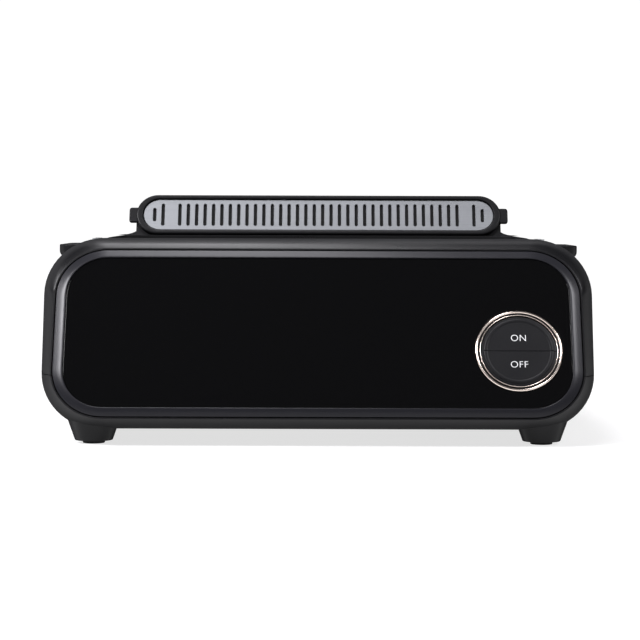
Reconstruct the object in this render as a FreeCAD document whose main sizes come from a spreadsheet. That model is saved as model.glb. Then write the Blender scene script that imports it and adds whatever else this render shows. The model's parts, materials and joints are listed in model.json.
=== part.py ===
"""Electric multi cooker: a wide table-top cooker with a leaning glass front, a lift-out pan and a
rear exhaust hood. Millimetres, +Z up, front towards -Y, origin on the table under the middle."""
import FreeCAD, Part

import math
import os
import re

import Sketcher

DOC = FreeCAD.newDocument("multi_cooker")
SHEET = DOC.addObject("Spreadsheet::Sheet", "Sizes")

SIZES = (
    ("case_width", 397.5, "casing, across its widest line"),
    ("case_depth", 372, "casing, from the foot of the front to the rear wall"),
    ("deck_height", 145.2, "top deck above the table"),
    ("belly_height", 9.7, "underside of the casing above the table"),
    ("seam_height", 49.2, "joint between the upper and lower casing"),
    ("seam_gap", 0.5, "visible joint line"),
    ("case_wall", 2.6, "moulded wall"),
    ("corner_round", 42, "long corners of the casing"),
    ("rear_round", 12, "edge round the rear wall"),
    ("lean", 26.5, "lean of the front and of the vent, degrees from upright"),
    ("top_rise", 7, "roll from the front rim up to the deck"),
    ("bottom_rise", 10.1, "roll from the front rim down to the belly"),
    ("side_rise", 9.45, "roll from the front rim out to the side"),
    ("top_roll", 16, "depth of the roll at the deck"),
    ("bottom_roll", 38, "depth of the roll at the belly"),
    ("corner_drop", 4.2, "how much tighter the corners are at the rim"),
    ("rim_width", 0.9, "flat rim round the front opening"),
    ("bezel_gap", 0.8, "parting groove round the bezel"),
    ("bezel_width", 7.2, "bezel, seen from the front, at the sides"),
    ("bezel_height", 6.4, "bezel at top and bottom"),
    ("bezel_crown", 1.8, "bezel proud of the rim"),
    ("bezel_round", 3.5, "outer edge of the bezel"),
    ("glass_gap", 0.25, "glass to bezel"),
    ("glass_thick", 3, "front glass"),
    ("glass_proud", 0.8, "glass face in front of the rim"),
    ("glass_round", 29, "glass corners"),
    ("carrier_thick", 3, "panel carrier plate"),
    ("key_inset", 37.9, "keys' axis from the right edge of the glass"),
    ("key_drop", 14, "keys, down the slope from the panel's middle"),
    ("key_round", 26.6, "keys, outer radius"),
    ("key_border", 3.6, "low border round the raised face of the keys"),
    ("key_split", 0.4, "gap between the two keys"),
    ("key_proud", 1.4, "key faces in front of the rim"),
    ("key_rise", 0.8, "raised face of the keys"),
    ("key_stem", 8.5, "end of the key stems behind the rim"),
    ("key_stem_place", 10, "key stems, up or down from the split"),
    ("ring_gap", 0.6, "keys to trim ring"),
    ("ring_width", 3.7, "trim ring, from its bore to its edge"),
    ("ring_proud", 1.6, "trim ring in front of the rim"),
    ("guide_wall", 2.1, "key guide round the trim ring"),
    ("guide_flange", 5, "flange of the key guide"),
    ("board_post_gap", 4.5, "axis of a board post from the key guide's flange"),
    ("board_drop", 30, "lower board posts, down the slope from the keys' axis"),
    ("board_rise", 46, "upper board posts, up the slope from the keys' axis"),
    ("board_left", 50, "left board posts, from the keys' axis"),
    ("board_edge", 4, "edges of the control board round its posts"),
    ("ring_groove", 0.8, "groove round the trim ring"),
    ("lug_side", 76, "panel lugs, from the middle"),
    ("lug_up", 50, "upper panel lugs, up the slope"),
    ("lug_down", 46, "lower panel lugs, down the slope"),
    ("lug_half", 5, "panel lugs, half width"),
    ("lug_edge", 6, "panel lugs, from the screw to their free edge"),
    ("display_half", 62, "display module, half width"),
    ("display_rise", 16, "display module, half height"),
    ("board_back", 18.4, "control board behind the rim"),
    ("board_thick", 1.6, "printed circuit boards"),
    ("pan_centre", -8, "middle of the pan, from the middle of the cooker"),
    ("pan_half_x", 163.5, "deck opening, half width"),
    ("pan_half_y", 94, "deck opening, half depth"),
    ("pan_round", 31, "deck opening corners"),
    ("rim_clear", 1, "pan rim to deck opening"),
    ("pan_drop", 5.5, "underside of the pan rim below the deck"),
    ("pan_rim_thick", 2.5, "pan rim"),
    ("pan_wall", 3, "pan wall"),
    ("pan_deep", 42.7, "underside of the pan below its rim"),
    ("pan_inset", 8.5, "pan wall inside the rim's edge"),
    ("pan_draft", 7, "how much narrower the pan is at its floor"),
    ("ledge_gap", 1.2, "pan rim to the ledge, filled by the heat shield's flange"),
    ("ledge_thick", 2.5, "ledge"),
    ("shield_deep", 72.5, "inside of the heat shield's floor below the ledge"),
    ("shield_wall", 1.2, "pressed heat shield"),
    ("shield_inset", 4, "heat shield bowl inside the deck opening"),
    ("notch_half", 49, "side notch for a pan handle, half length"),
    ("notch_drop", 16.2, "floor of the side notch below the deck"),
    ("handle_back", 1.95, "tips of the pan handles inside the casing's widest line"),
    ("handle_half", 45, "pan handle, half length"),
    ("handle_clear", 1.2, "pan handles above the floor of the notch"),
    ("handle_thick", 9.5, "pan handles"),
    ("handle_round", 12, "pan handle corners"),
    ("handle_belly", 4, "round along the underside of the pan handles"),
    ("heater_round", 3.3, "tubular heater, radius"),
    ("heater_clear", 0.6, "tubular heater below the pan"),
    ("heater_pitch", 34, "between the heater's runs"),
    ("heater_inset", 45.5, "heater's straight runs inside the deck opening, at each end"),
    ("hood_depth", 64, "hood, front to rear at its foot"),
    ("hood_inset", 22, "rear of the hood from the rear wall"),
    ("riser_lift", 15.5, "middle of the vent above the deck"),
    ("vent_half", 150.3, "vent frame, half width"),
    ("vent_round", 18, "vent frame, half height along the slope"),
    ("vent_thick", 4, "vent frame"),
    ("frame_side", 5.6, "border of the vent frame at its ends"),
    ("frame_border", 3.9, "border of the vent frame above and below the plate"),
    ("plate_thick", 1.4, "vent plate"),
    ("tab_length", 5.9, "vent tabs, out from the frame"),
    ("tab_height", 13.2, "vent tabs, along the slope"),
    ("slot_pitch", 6.937, "between vent slots"),
    ("slot_width", 1.98, "vent slots"),
    ("slot_length", 19.8, "vent slots"),
    ("short_slot", 11.8, "outermost vent slots"),
    ("hood_wall", 2.4, "hood wall"),
    ("hood_round", 10, "rear edge of the hood"),
    ("plinth_flare", 16.5, "flared foot of the hood, at each side"),
    ("plinth_rise", 3.6, "flared foot of the hood, height"),
    ("cover_gap", 0.3, "vent cover to hood face"),
    ("fan_inset", 46, "fan axis from the rear wall"),
    ("fan_drop", 48.2, "fan axis below the deck"),
    ("fan_round", 24, "fan rotor, radius"),
    ("fan_short", 32.3, "fan rotor's ends inside the vent frame's ends"),
    ("fan_blades", 18, "blades of the fan rotor"),
    ("shaft_round", 3, "fan shaft, radius"),
    ("foot_inset", 39.15, "feet, from the sides of the casing"),
    ("foot_fore", 30.5, "front feet, from the foot of the front"),
    ("foot_aft", 38, "rear feet, from the rear wall"),
    ("foot_round", 13.7, "feet, radius at the bottom"),
    ("foot_spread", 0.34, "how fast the feet widen upwards"),
    ("foot_tall", 18, "feet, before they are trimmed to the casing"),
    ("pad_round", 7.9, "foot pads, radius"),
    ("pad_show", 2.1, "foot pads below the feet"),
    ("pad_sunk", 1, "foot pads let into the feet"),
    ("screw_round", 1.5, "screw shanks, radius"),
    ("screw_clear", 0.1, "clearance round a screw shank"),
    ("post_round", 4.5, "screw posts, radius"),
    ("post_inset", 26.75, "screw posts, from the sides of the casing"),
    ("post_front", -66, "front screw posts"),
    ("post_rear", 100, "rear screw posts"),
    ("inlet_side", -140, "power inlet, from the middle"),
    ("inlet_height", 34, "power inlet above the table"),
    ("power_side", -170, "power board's left edge, from the middle"),
    ("power_long", 140, "power board, along the cooker"),
    ("power_front", -60, "power board's front edge, from the middle"),
    ("power_wide", 100, "power board, front to rear"),
    ("power_height", 22, "power board above the table"),
)
for row, (alias, number, note) in enumerate(SIZES, start=1):
    SHEET.set(f"A{row}", note)
    SHEET.set(f"B{row}", str(number))
    SHEET.setAlias(f"B{row}", alias)
DOC.recompute()

WORDS = re.compile(r"[a-z_]+")
NODES = []

# Sizes and places that follow from the sheet, in its own words
WORKED_OUT = (
    ("post_side", "case_width / 2 - post_inset"),
    ("foot_side", "case_width / 2 - foot_inset"),
    ("foot_front", "-case_depth / 2 + foot_fore"),
    ("foot_rear", "case_depth / 2 - foot_aft"),
    ("key_side", "case_width / 2 - side_rise - rim_width - bezel_gap - bezel_width - key_inset"),
    ("key_face_round", "key_round - key_border"),
    ("ring_inner", "key_round + ring_gap"),
    ("ring_outer", "ring_inner + ring_width"),
    ("guide_round", "ring_outer + guide_wall"),
    ("board_reach", "sqrt((guide_round + guide_flange + board_post_gap)^2 - board_drop^2)"),
    ("pan_seat", "deck_height - pan_drop"),
    ("pan_floor", "pan_seat - pan_deep"),
    ("ledge_height", "pan_seat - ledge_gap"),
    ("shield_floor", "ledge_height - shield_deep"),
    ("notch_floor", "deck_height - notch_drop"),
    ("handle_low", "notch_floor + handle_clear"),
    ("handle_reach", "case_width / 2 - handle_back"),
    ("heater_height", "pan_floor - heater_clear - heater_round"),
    ("heater_half", "pan_half_x - heater_inset"),
    ("riser_back", "case_depth / 2 - hood_inset"),
    ("riser_front", "riser_back - hood_depth"),
    ("plate_half", "vent_half - frame_side"),
    ("plate_round", "vent_round - frame_border"),
    ("tab_reach", "vent_half + tab_length"),
    ("fan_half", "vent_half - fan_short"),
    ("fan_back", "case_depth / 2 - fan_inset"),
    ("fan_height", "deck_height - fan_drop"),
)

# Formulas that several pieces share
HALF_WIDTH = "(case_width / 2)"
RIM_TOP = "(deck_height - top_rise)"
RIM_BOTTOM = "(belly_height + bottom_rise)"
RIM_HALF = f"(({RIM_TOP} - {RIM_BOTTOM}) / 2 / cos(lean))"
RIM_SIDE = f"({HALF_WIDTH} - side_rise)"
PANEL_Z = f"(({RIM_TOP} + {RIM_BOTTOM}) / 2)"
PANEL_Y = f"(-case_depth / 2 + {RIM_HALF} * sin(lean))"
PANEL_X = f"({RIM_SIDE} - rim_width)"
PANEL_S = f"({RIM_HALF} - rim_width)"
PANEL_ROUND = "(corner_round - corner_drop - rim_width)"
REAR = "(case_depth / 2)"
VENT_Z = "(deck_height + riser_lift)"
VENT_Y = "(riser_front + riser_lift * tan(lean))"
COLLAR_X = "(pan_half_x + case_wall)"
COLLAR_Y = "(pan_half_y + case_wall)"
SHIELD_X = "(pan_half_x - shield_inset)"
SHIELD_Y = "(pan_half_y - shield_inset)"
SHIELD_ROUND = "(pan_round - shield_inset)"
PAN_X = "(pan_half_x - rim_clear - pan_inset)"
PAN_Y = "(pan_half_y - rim_clear - pan_inset)"
PAN_ROUND = "(pan_round - rim_clear - pan_inset)"
POWER_POINTS = [(f"power_side + {x}", f"power_front + {y}") for x in (6, "power_long - 6")
                for y in (6, "power_wide - 6")]
HOOD_POINTS = [(x, y) for x in ("-vent_half + 5.8", "vent_half - 5.8")
               for y in ("riser_front + 22", "riser_back - 16")]
LUG_SIDES = ("-lug_side", "lug_side")


def linked(formula):
    """The formula with every size pointing at its cell."""
    return WORDS.sub(lambda word: CELLS.get(word[0], word[0]), str(formula))


CELLS = {alias: f"Sizes.{alias}" for alias, _, _ in SIZES}
for alias, formula in WORKED_OUT:
    CELLS[alias] = f"({linked(formula)})"


def size(formula):
    """The formula's present value."""
    return float(SHEET.evalExpression(linked(formula)))


def bind(thing, **formulas):
    for prop, formula in formulas.items():
        thing.setExpression(prop.replace("_", "."), linked(formula))
    return thing


def at(thing, x=0, y=0, z=0):
    """Put a piece at a place given by formulas."""
    base = FreeCAD.Vector(size(x), size(y), size(z))
    thing.Placement = FreeCAD.Placement(base, thing.Placement.Rotation)
    bind(thing, Placement_Base_x=x, Placement_Base_y=y, Placement_Base_z=z)
    return thing


def turned(thing, axis, angle):
    """Turn a piece about an axis through its own origin."""
    turn = FreeCAD.Rotation(FreeCAD.Vector(*axis), size(angle))
    thing.Placement = FreeCAD.Placement(thing.Placement.Base, turn)
    if not str(angle).lstrip("-").isdigit():
        bind(thing, Placement_Rotation_Angle=angle)
    return thing


def leaned(thing, y, z):
    """Local x across, y up the slope and z outwards, from a point on the middle plane."""
    if not thing.Placement.isIdentity():
        thing = group(thing.Name + "_placed", thing)
    return at(turned(thing, (1, 0, 0), "90 - lean"), 0, y, z)


def on_panel(thing):
    """From the middle of the front rim."""
    return leaned(thing, PANEL_Y, PANEL_Z)


def on_vent(thing):
    """From the middle of the vent."""
    return leaned(thing, VENT_Y, VENT_Z)


def box(name, low, high):
    """A block between two corners given as formulas."""
    block = DOC.addObject("Part::Box", name)
    spans = [f"({top}) - ({bottom})" for bottom, top in zip(low, high)]
    bind(block, Length=spans[0], Width=spans[1], Height=spans[2])
    return at(block, *low)


def rod(name, radius, length, x=0, y=0, z=0, axis=(0, 0, 1), sweep=None):
    """A round bar along an axis, or part of one."""
    bar = bind(DOC.addObject("Part::Cylinder", name), Radius=radius, Height=length)
    if sweep:
        bar.Angle = sweep
    if axis == (1, 0, 0):
        turned(bar, (0, 1, 0), 90)
    if axis == (0, 1, 0):
        turned(bar, (1, 0, 0), -90)
    return at(bar, x, y, z)


def cone(name, low, high, length, x=0, y=0, z=0, sweep=None):
    shape = bind(DOC.addObject("Part::Cone", name), Radius1=low, Radius2=high, Height=length)
    if sweep:
        shape.Angle = sweep
    return at(shape, x, y, z)


def cut(name, base, tool):
    result = DOC.addObject("Part::Cut", name)
    result.Base, result.Tool = base, tool
    return result


def fuse(name, *pieces):
    result = DOC.addObject("Part::MultiFuse", name)
    result.Shapes = list(pieces)
    result.Refine = True
    return result


def common(name, first, second):
    result = DOC.addObject("Part::Common", name)
    result.Base, result.Tool = first, second
    return result


def group(name, *pieces):
    """Like pieces that stay separate solids in one node."""
    result = DOC.addObject("Part::Compound", name)
    result.Links = list(pieces)
    return result


def rounded(name, half_x, half_y, radius):
    """A sketch of a rectangle with round corners about its own origin."""
    sketch = DOC.addObject("Sketcher::SketchObject", name)
    draw_rounded(sketch, half_x, half_y, radius)
    return sketch


def draw_rounded(sketch, half_x, half_y, radius):
    a, b, r = size(half_x), size(half_y), size(radius)
    vector = FreeCAD.Vector
    corners = ((a - r, -b + r, -90), (a - r, b - r, 0), (-a + r, b - r, 90), (-a + r, -b + r, 180))
    sides = (((-a + r, -b), (a - r, -b)), ((a, -b + r), (a, b - r)),
             ((a - r, b), (-a + r, b)), ((-a, b - r), (-a, -b + r)))
    for (start, end), (x, y, turn) in zip(sides, corners):
        sketch.addGeometry(Part.LineSegment(vector(*start, 0), vector(*end, 0)), False)
        circle = Part.Circle(vector(x, y, 0), vector(0, 0, 1), r)
        arc = Part.ArcOfCircle(circle, math.radians(turn), math.radians(turn + 90))
        sketch.addGeometry(arc, False)
    rule = Sketcher.Constraint
    for line in (0, 2, 4, 6):
        sketch.addConstraint(rule("Tangent", line, 2, line + 1, 1))
        sketch.addConstraint(rule("Tangent", line + 1, 2, (line + 2) % 8, 1))
    sketch.addConstraint(rule("Horizontal", 0))
    sketch.addConstraint(rule("Vertical", 2))
    for corner in (3, 5, 7):
        sketch.addConstraint(rule("Equal", 1, corner))
    sketch.addConstraint(rule("Symmetric", 0, 1, 4, 1, -1, 1))
    measures = (("Radius", (1, r), radius), ("DistanceX", (-1, 1, 2, 1, a), half_x),
                ("DistanceY", (-1, 1, 4, 1, b), half_y))
    for kind, numbers, formula in measures:
        place = sketch.addConstraint(rule(kind, *numbers))
        sketch.setExpression(f"Constraints[{place}]", linked(formula))


def drawn_out(name, profile, length, along=(0, 0, 1)):
    """A sketch drawn out along a direction."""
    drawn = DOC.addObject("Part::Extrusion", name)
    drawn.Base = profile
    drawn.DirMode = "Custom"
    drawn.Dir = FreeCAD.Vector(*along)
    drawn.Solid = True
    bind(drawn, LengthFwd=length)
    return drawn


def slab(name, half_x, half_y, radius, length, along=(0, 0, 1)):
    """A rectangle with round corners drawn out along a direction."""
    return drawn_out(name, rounded(name + "_outline", half_x, half_y, radius), length, along)


def stadium(name, half_x, half_y, length):
    """A slab whose ends are all but half round."""
    return slab(name, half_x, half_y, f"({half_y}) - 0.01", length)


def softened(name, base, radius, choose):
    """Round the edges that choose picks by the middle of each edge and its box."""
    DOC.recompute()
    result = DOC.addObject("Part::Fillet", name)
    result.Base = base
    chosen = [i for i, edge in enumerate(base.Shape.Edges, start=1) if choose(edge)]
    if not chosen:
        raise RuntimeError(f"{name} has no edge to round")
    result.Edges = [(i, size(radius), size(radius)) for i in chosen]
    return result


def flat_at(axis, formula, inside=None):
    """A chooser of the edges that lie in the plane where X, Y or Z is a given size."""
    level = size(formula)

    def choose(edge):
        bounds = edge.BoundBox
        low, high = getattr(bounds, axis + "Min"), getattr(bounds, axis + "Max")
        if abs(low - level) > 0.01 or abs(high - level) > 0.01:
            return False
        return inside is None or inside(edge)
    return choose


def node(name, thing):
    """Name a finished piece; its label is also its file's name."""
    thing.Label = name
    NODES.append((name, thing))
    return thing


HEAD = 2


def screw(name, head, shank, length, x, y, z, axis=(0, 0, 1), down=False):
    """A pan head screw: the head's outer face at the place, the shank running along the axis."""
    step = {(1, 0, 0): 0, (0, 1, 0): 1, (0, 0, 1): 2}[axis]
    place = [x, y, z]
    start = list(place)
    bolt = list(place)
    if down:
        start[step] = f"({place[step]}) - {HEAD}"
        bolt[step] = f"({place[step]}) - {HEAD} - ({length})"
    else:
        bolt[step] = f"({place[step]}) + {HEAD}"
    top = rod(name + "_head", head, HEAD, *start, axis=axis)
    bar = rod(name + "_shank", shank, length, *bolt, axis=axis)
    return fuse(name, top, bar)


# Outer form of the casing: a rolled nose behind the leaning rim, then a straight trunk
NOSE_CURVE = 1.45
NOSE_STEPS = (0, 0.07, 0.18, 0.34, 0.56, 0.8, 1)


def roll(step):
    """Share of the roll that is left at a step, on an arc that ends flush with the trunk."""
    flush = NOSE_CURVE - math.sqrt(NOSE_CURVE ** 2 - (1 - step) ** 2)
    return flush / (NOSE_CURVE - math.sqrt(NOSE_CURVE ** 2 - 1))


def nose_section(name, step, wall):
    """One cross-section of the casing on a plane through its top and bottom line."""
    left = f"{roll(step):.6f}"
    top_y = f"({PANEL_Y} + {RIM_HALF} * sin(lean) + top_roll * {step})"
    low_y = f"({PANEL_Y} - {RIM_HALF} * sin(lean) + bottom_roll * {step})"
    top_z = f"(deck_height - top_rise * {left} - {wall})"
    low_z = f"(belly_height + bottom_rise * {left} + {wall})"
    tilt = f"(atan(({top_y} - {low_y}) / ({top_z} - {low_z})) / (1 deg))"
    half = f"(({top_z} - {low_z}) / 2 / cos({tilt}))"
    section = rounded(name, f"{HALF_WIDTH} - side_rise * {left} - {wall}", half,
                      f"corner_round - corner_drop * {left} - {wall}")
    turned(section, (1, 0, 0), f"90 - {tilt}")
    return at(section, 0, f"({top_y} + {low_y}) / 2", f"({top_z} + {low_z}) / 2")


def casing_form(name, wall, steps, rear):
    """The casing as a solid, its skin moved inwards by a wall."""
    sections = [nose_section(f"{name}_section{i}", step, wall) for i, step in enumerate(steps)]
    nose = DOC.addObject("Part::Loft", name + "_nose")
    nose.Sections = sections
    nose.Solid = True
    trunk = drawn_out(name + "_trunk", sections[-1], "case_depth", (0, 1, 0))
    room = box(name + "_room", ("-case_width", "-case_depth", "-5"), ("case_width", rear, "2 * deck_height"))
    form = common(name + "_form", fuse(name + "_whole", nose, trunk), room)
    return softened(name, form, "rear_round" if wall == 0 else "rear_round - case_wall",
                    flat_at("Y", rear))


OUTER = casing_form("outer", 0, NOSE_STEPS, REAR)
INNER = casing_form("inner", "case_wall", NOSE_STEPS[3:], f"{REAR} - case_wall")


def level_back(slope):
    """Straight back from a leaning face, in that face's own axes."""
    return (0, math.sin(slope), -math.cos(slope))


BACK = level_back(math.radians(size("lean")))


def panel_slab(name, inset_x, inset_s, front, back):
    """A plate across the front opening, drawn straight back from one level behind the rim to another."""
    plate = slab(name, f"{PANEL_X} - ({inset_x})", f"{PANEL_S} - ({inset_s})",
                 f"{PANEL_ROUND} - ({inset_x})", f"(({front}) - ({back})) / cos(lean)", BACK)
    at(plate.Base, 0, f"-({front}) * tan(lean)", front)
    return plate


# Casing
opening = on_panel(panel_slab("front_opening", 0, 0, 3, -16))
shell = cut("shell", cut("shell_thick", OUTER, INNER), opening)
upper_room = box("upper_room", ("-case_width", "-case_depth", "seam_height + seam_gap / 2"),
                 ("case_width", "case_depth", "2 * deck_height"))
lower_room = box("lower_room", ("-case_width", "-case_depth", "-5"),
                 ("case_width", "case_depth", "seam_height - seam_gap / 2"))

pan_hole = at(slab("pan_hole", "pan_half_x", "pan_half_y", "pan_round", 60),
              0, "pan_centre", "ledge_height")
ledge_hole = at(slab("ledge_hole", f"{SHIELD_X} + 0.4", f"{SHIELD_Y} + 0.4", SHIELD_ROUND, 60),
                0, "pan_centre", "ledge_height - 20")
collar = at(slab("collar", COLLAR_X, COLLAR_Y, "pan_round + case_wall",
                 "deck_height - ledge_height + ledge_thick - 1"),
            0, "pan_centre", "ledge_height - ledge_thick")
notches = []
trays = []
for side, low_x, high_x in (("left", f"-{HALF_WIDTH} - 20", "-pan_half_x + 1"),
                            ("right", "pan_half_x - 1", f"{HALF_WIDTH} + 20")):
    notches.append(box(f"notch_{side}", (low_x, "pan_centre - notch_half", "notch_floor"),
                       (high_x, "pan_centre + notch_half", "deck_height + 20")))
    trays.append(box(f"tray_{side}",
                     (low_x, "pan_centre - notch_half - case_wall", "notch_floor - case_wall"),
                     (high_x, "pan_centre + notch_half + case_wall", "deck_height")))
posts = []
for side, sign in (("left", "-"), ("right", "")):
    for end in ("front", "rear"):
        posts.append(rod(f"post_{end}_{side}", "post_round", "deck_height - belly_height",
                         f"{sign}post_side", f"post_{end}", "belly_height"))
LUG_FRONT = "(glass_proud - glass_thick - carrier_thick)"


def lugs(name, low, high):
    """Lugs behind the panel carrier, between two heights up the slope, grown from the skin."""
    blocks = [box(f"{name}{i}", (f"{x} - lug_half", low, -16), (f"{x} + lug_half", high, LUG_FRONT))
              for i, x in enumerate(LUG_SIDES)]
    return on_panel(fuse(name, *blocks))


def lug_bores(name, place):
    return on_panel(fuse(name, *[rod(f"{name}{i}", "screw_round + screw_clear", 12, x, place, -15)
                                 for i, x in enumerate(LUG_SIDES)]))


upper_lugs = common("upper_lug_forms",
                    lugs("upper_lugs", "lug_up - lug_edge", f"{RIM_HALF} + 2 * top_roll"), OUTER)
extras = common("upper_extras", fuse("upper_extra_blocks", collar, *trays, *posts), OUTER)
duct_hole = box("duct_hole", ("-fan_half - 8", "riser_front + 12", "deck_height - 10"),
                ("fan_half + 8", "riser_back - 6", "deck_height + 10"))
outlet_hole = box("outlet_hole", ("-fan_half", f"{REAR} - 10", "fan_height - 37"),
                  ("fan_half", f"{REAR} + 10", "fan_height - 11"))
post_bores = []
for side, sign in (("left", "-"), ("right", "")):
    for end in ("front", "rear"):
        post_bores.append(rod(f"bore_{end}_{side}", "screw_round + screw_clear", "seam_height + 12",
                              f"{sign}post_side", f"post_{end}", 0))
deck_bores = [rod(f"deck_bore{i}", "screw_round + screw_clear", "case_wall + 12", x, y,
                  "deck_height - case_wall - 1") for i, (x, y) in enumerate(HOOD_POINTS)]
voids = fuse("upper_voids", pan_hole, ledge_hole, *notches, duct_hole, outlet_hole, *post_bores, *deck_bores,
             lug_bores("upper_lug_bores", "lug_up"))
upper_whole = common("upper_whole", fuse("upper_blank", shell, extras, upper_lugs), upper_room)
node("upper_casing", cut("upper_casing", upper_whole, voids))

LOUVRES = 9
louvres = [slab(f"louvre{i}", 1.6, 30, 1.59, 20) for i in range(LOUVRES)]
for i, louvre in enumerate(louvres):
    at(louvre, f"{(i - (LOUVRES - 1) / 2) * 11:.1f} + 60", "pan_centre", 0)
inlet_hole = box("inlet_hole", ("inlet_side - 14", f"{REAR} - 10", "inlet_height - 10"),
                 ("inlet_side + 14", f"{REAR} + 10", "inlet_height + 10"))
head_bores = []
for side, sign in (("left", "-"), ("right", "")):
    for end in ("front", "rear"):
        head_bores.append(rod(f"head_bore_{end}_{side}", "screw_round * 2.2", "belly_height + 8",
                              f"{sign}post_side", f"post_{end}", 0))
power_posts = [rod(f"power_post{i}", 3.5, "power_height - belly_height", x, y, "belly_height")
               for i, (x, y) in enumerate(POWER_POINTS)]
power_bores = [rod(f"power_bore{i}", "screw_round - 0.3 + screw_clear", 40, x, y, "belly_height + 4")
               for i, (x, y) in enumerate(POWER_POINTS)]
lower_lugs = common("lower_lug_forms",
                    lugs("lower_lugs", f"-{RIM_HALF} - bottom_roll", "-lug_down + lug_edge"), OUTER)
lower_posts = common("lower_posts", fuse("lower_post_blocks", *posts, *power_posts), OUTER)
lower_whole = common("lower_whole", fuse("lower_blank", shell, lower_posts, lower_lugs), lower_room)
lower_voids = fuse("lower_voids", *louvres, inlet_hole, *post_bores, *head_bores, *power_bores,
                   lug_bores("lower_lug_bores", "-lug_down"))
node("lower_casing", cut("lower_casing", lower_whole, lower_voids))

screws = []
for side, sign in (("left", "-"), ("right", "")):
    for end in ("front", "rear"):
        screws.append(screw(f"casing_screw_{end}_{side}", "screw_round * 2", "screw_round",
                            "seam_height - belly_height", f"{sign}post_side", f"post_{end}",
                            "belly_height + 6"))
node("casing_screws", group("casing_screws", *screws))

# Feet
for end in ("front", "rear"):
    for side, sign in (("left", "-"), ("right", "")):
        name = f"{end}_{side}"
        place = (f"{sign}foot_side", f"foot_{end}")
        leg = cone(f"foot_cone_{name}", "foot_round", "foot_round + foot_spread * foot_tall", "foot_tall",
                   *place, "pad_show")
        seat = rod(f"foot_seat_{name}", "pad_round + 0.1", "pad_show + pad_sunk", *place, 0)
        body = cut(f"foot_{name}", leg, seat)
        node(f"foot_{name}", cut(f"foot_trimmed_{name}", body, OUTER))
        node(f"foot_pad_{name}", rod(f"foot_pad_{name}", "pad_round", "pad_show + pad_sunk", *place, 0))

# Front panel
GLASS_X = f"({PANEL_X} - bezel_gap - bezel_width)"
GLASS_S = f"({PANEL_S} - bezel_gap - bezel_height)"
GLASS_BACK = "(glass_proud - glass_thick)"
CARRIER_BACK = f"({GLASS_BACK} - carrier_thick)"


def outside_glass(edge):
    middle = edge.CenterOfMass
    return abs(middle.x) > size(GLASS_X) + 1 or abs(middle.y) > size(GLASS_S) + 1


def round_glass(edge):
    return not outside_glass(edge)


bezel_block = panel_slab("bezel_block", "bezel_gap", "bezel_gap", "bezel_crown", GLASS_BACK)
bezel_hole = at(slab("bezel_hole", GLASS_X, GLASS_S, "glass_round", 20), 0, 0, -10)
bezel_ring = cut("bezel_ring", bezel_block, bezel_hole)
bezel_soft = softened("bezel_soft", bezel_ring, "bezel_round", flat_at("Z", "bezel_crown", outside_glass))
node("front_bezel", on_panel(softened("front_bezel", bezel_soft, "bezel_crown - glass_proud",
                                      flat_at("Z", "bezel_crown", round_glass))))


def key_rod(name, radius, back, front, side=0):
    """A rod on the keys' axis between two levels, or beside it."""
    return rod(name, radius, f"({front}) - ({back})", "key_side", f"-key_drop + ({side})", back)


glass_blank = at(slab("glass_blank", f"{GLASS_X} - glass_gap", f"{GLASS_S} - glass_gap",
                      "glass_round - glass_gap", "glass_thick"), 0, 0, GLASS_BACK)
glass_bore = key_rod("glass_bore", "ring_outer + glass_gap", -20, 20)
glass_cut = cut("glass_cut", glass_blank, glass_bore)
node("front_glass", on_panel(softened("front_glass", glass_cut, 0.35, flat_at("Z", "glass_proud"))))

ring_blank = key_rod("ring_blank", "ring_outer", GLASS_BACK, "ring_proud")
ring_bore = key_rod("ring_bore", "ring_inner", -20, 20)
ring_soft = softened("ring_soft", cut("ring_tube", ring_blank, ring_bore), 0.6, flat_at("Z", "ring_proud"))
RING_MIDDLE = "(ring_inner + ring_outer) / 2"
groove_outer = key_rod("groove_outer", f"{RING_MIDDLE} + ring_groove / 2", "ring_proud - 1", 20)
groove_inner = key_rod("groove_inner", f"{RING_MIDDLE} - ring_groove / 2", "ring_proud - 2", 20)
ring_groove = cut("ring_groove", groove_outer, groove_inner)
node("key_trim_ring", on_panel(cut("key_trim_ring", ring_soft, ring_groove)))

guide_tube = key_rod("guide_tube", "guide_round", f"{CARRIER_BACK} - 4", GLASS_BACK)
guide_flange = key_rod("guide_flange", "guide_round + guide_flange", f"{CARRIER_BACK} - 3", CARRIER_BACK)
guide_bore = key_rod("guide_bore", "key_round + key_split / 2 + 0.3", -30, 20)
node("key_guide", on_panel(cut("key_guide", fuse("guide_body", guide_tube, guide_flange), guide_bore)))

STEMS = {"upper": "key_stem_place", "lower": "-key_stem_place"}
housings = []
for which, place in STEMS.items():
    sign = "" if which == "upper" else "-"
    base = rod(f"key_base_{which}", "key_round", "key_proud - key_rise + 5", sweep=180)
    face = cone(f"key_face_{which}", "key_face_round + key_rise", "key_face_round", "key_rise", sweep=180)
    for piece, level in ((base, "-5"), (face, "key_proud - key_rise")):
        if which == "lower":
            turned(piece, (0, 0, 1), 180)
        at(piece, "key_side", f"-key_drop + {sign}key_split / 2", level)
    stem = key_rod(f"key_stem_{which}", 2.5, "-key_stem", "-5", place)
    node(f"{which}_key", on_panel(fuse(f"{which}_key", base, face, stem)))
    plunger = key_rod(f"{which}_plunger", 1.6, "-key_stem - 4.7", "-key_stem", place)
    node(f"{which}_plunger", on_panel(plunger))
    block = box(f"switch_block_{which}", ("key_side - 3.5", f"-key_drop + ({place}) - 3.5", "-board_back"),
                ("key_side + 3.5", f"-key_drop + ({place}) + 3.5", "-board_back + 6.4"))
    housings.append(cut(f"switch_{which}", block,
                        key_rod(f"switch_bore_{which}", 1.8, "-board_back + 2.5", "0", place)))
node("switch_housings", on_panel(group("switch_housings", *housings)))

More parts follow.
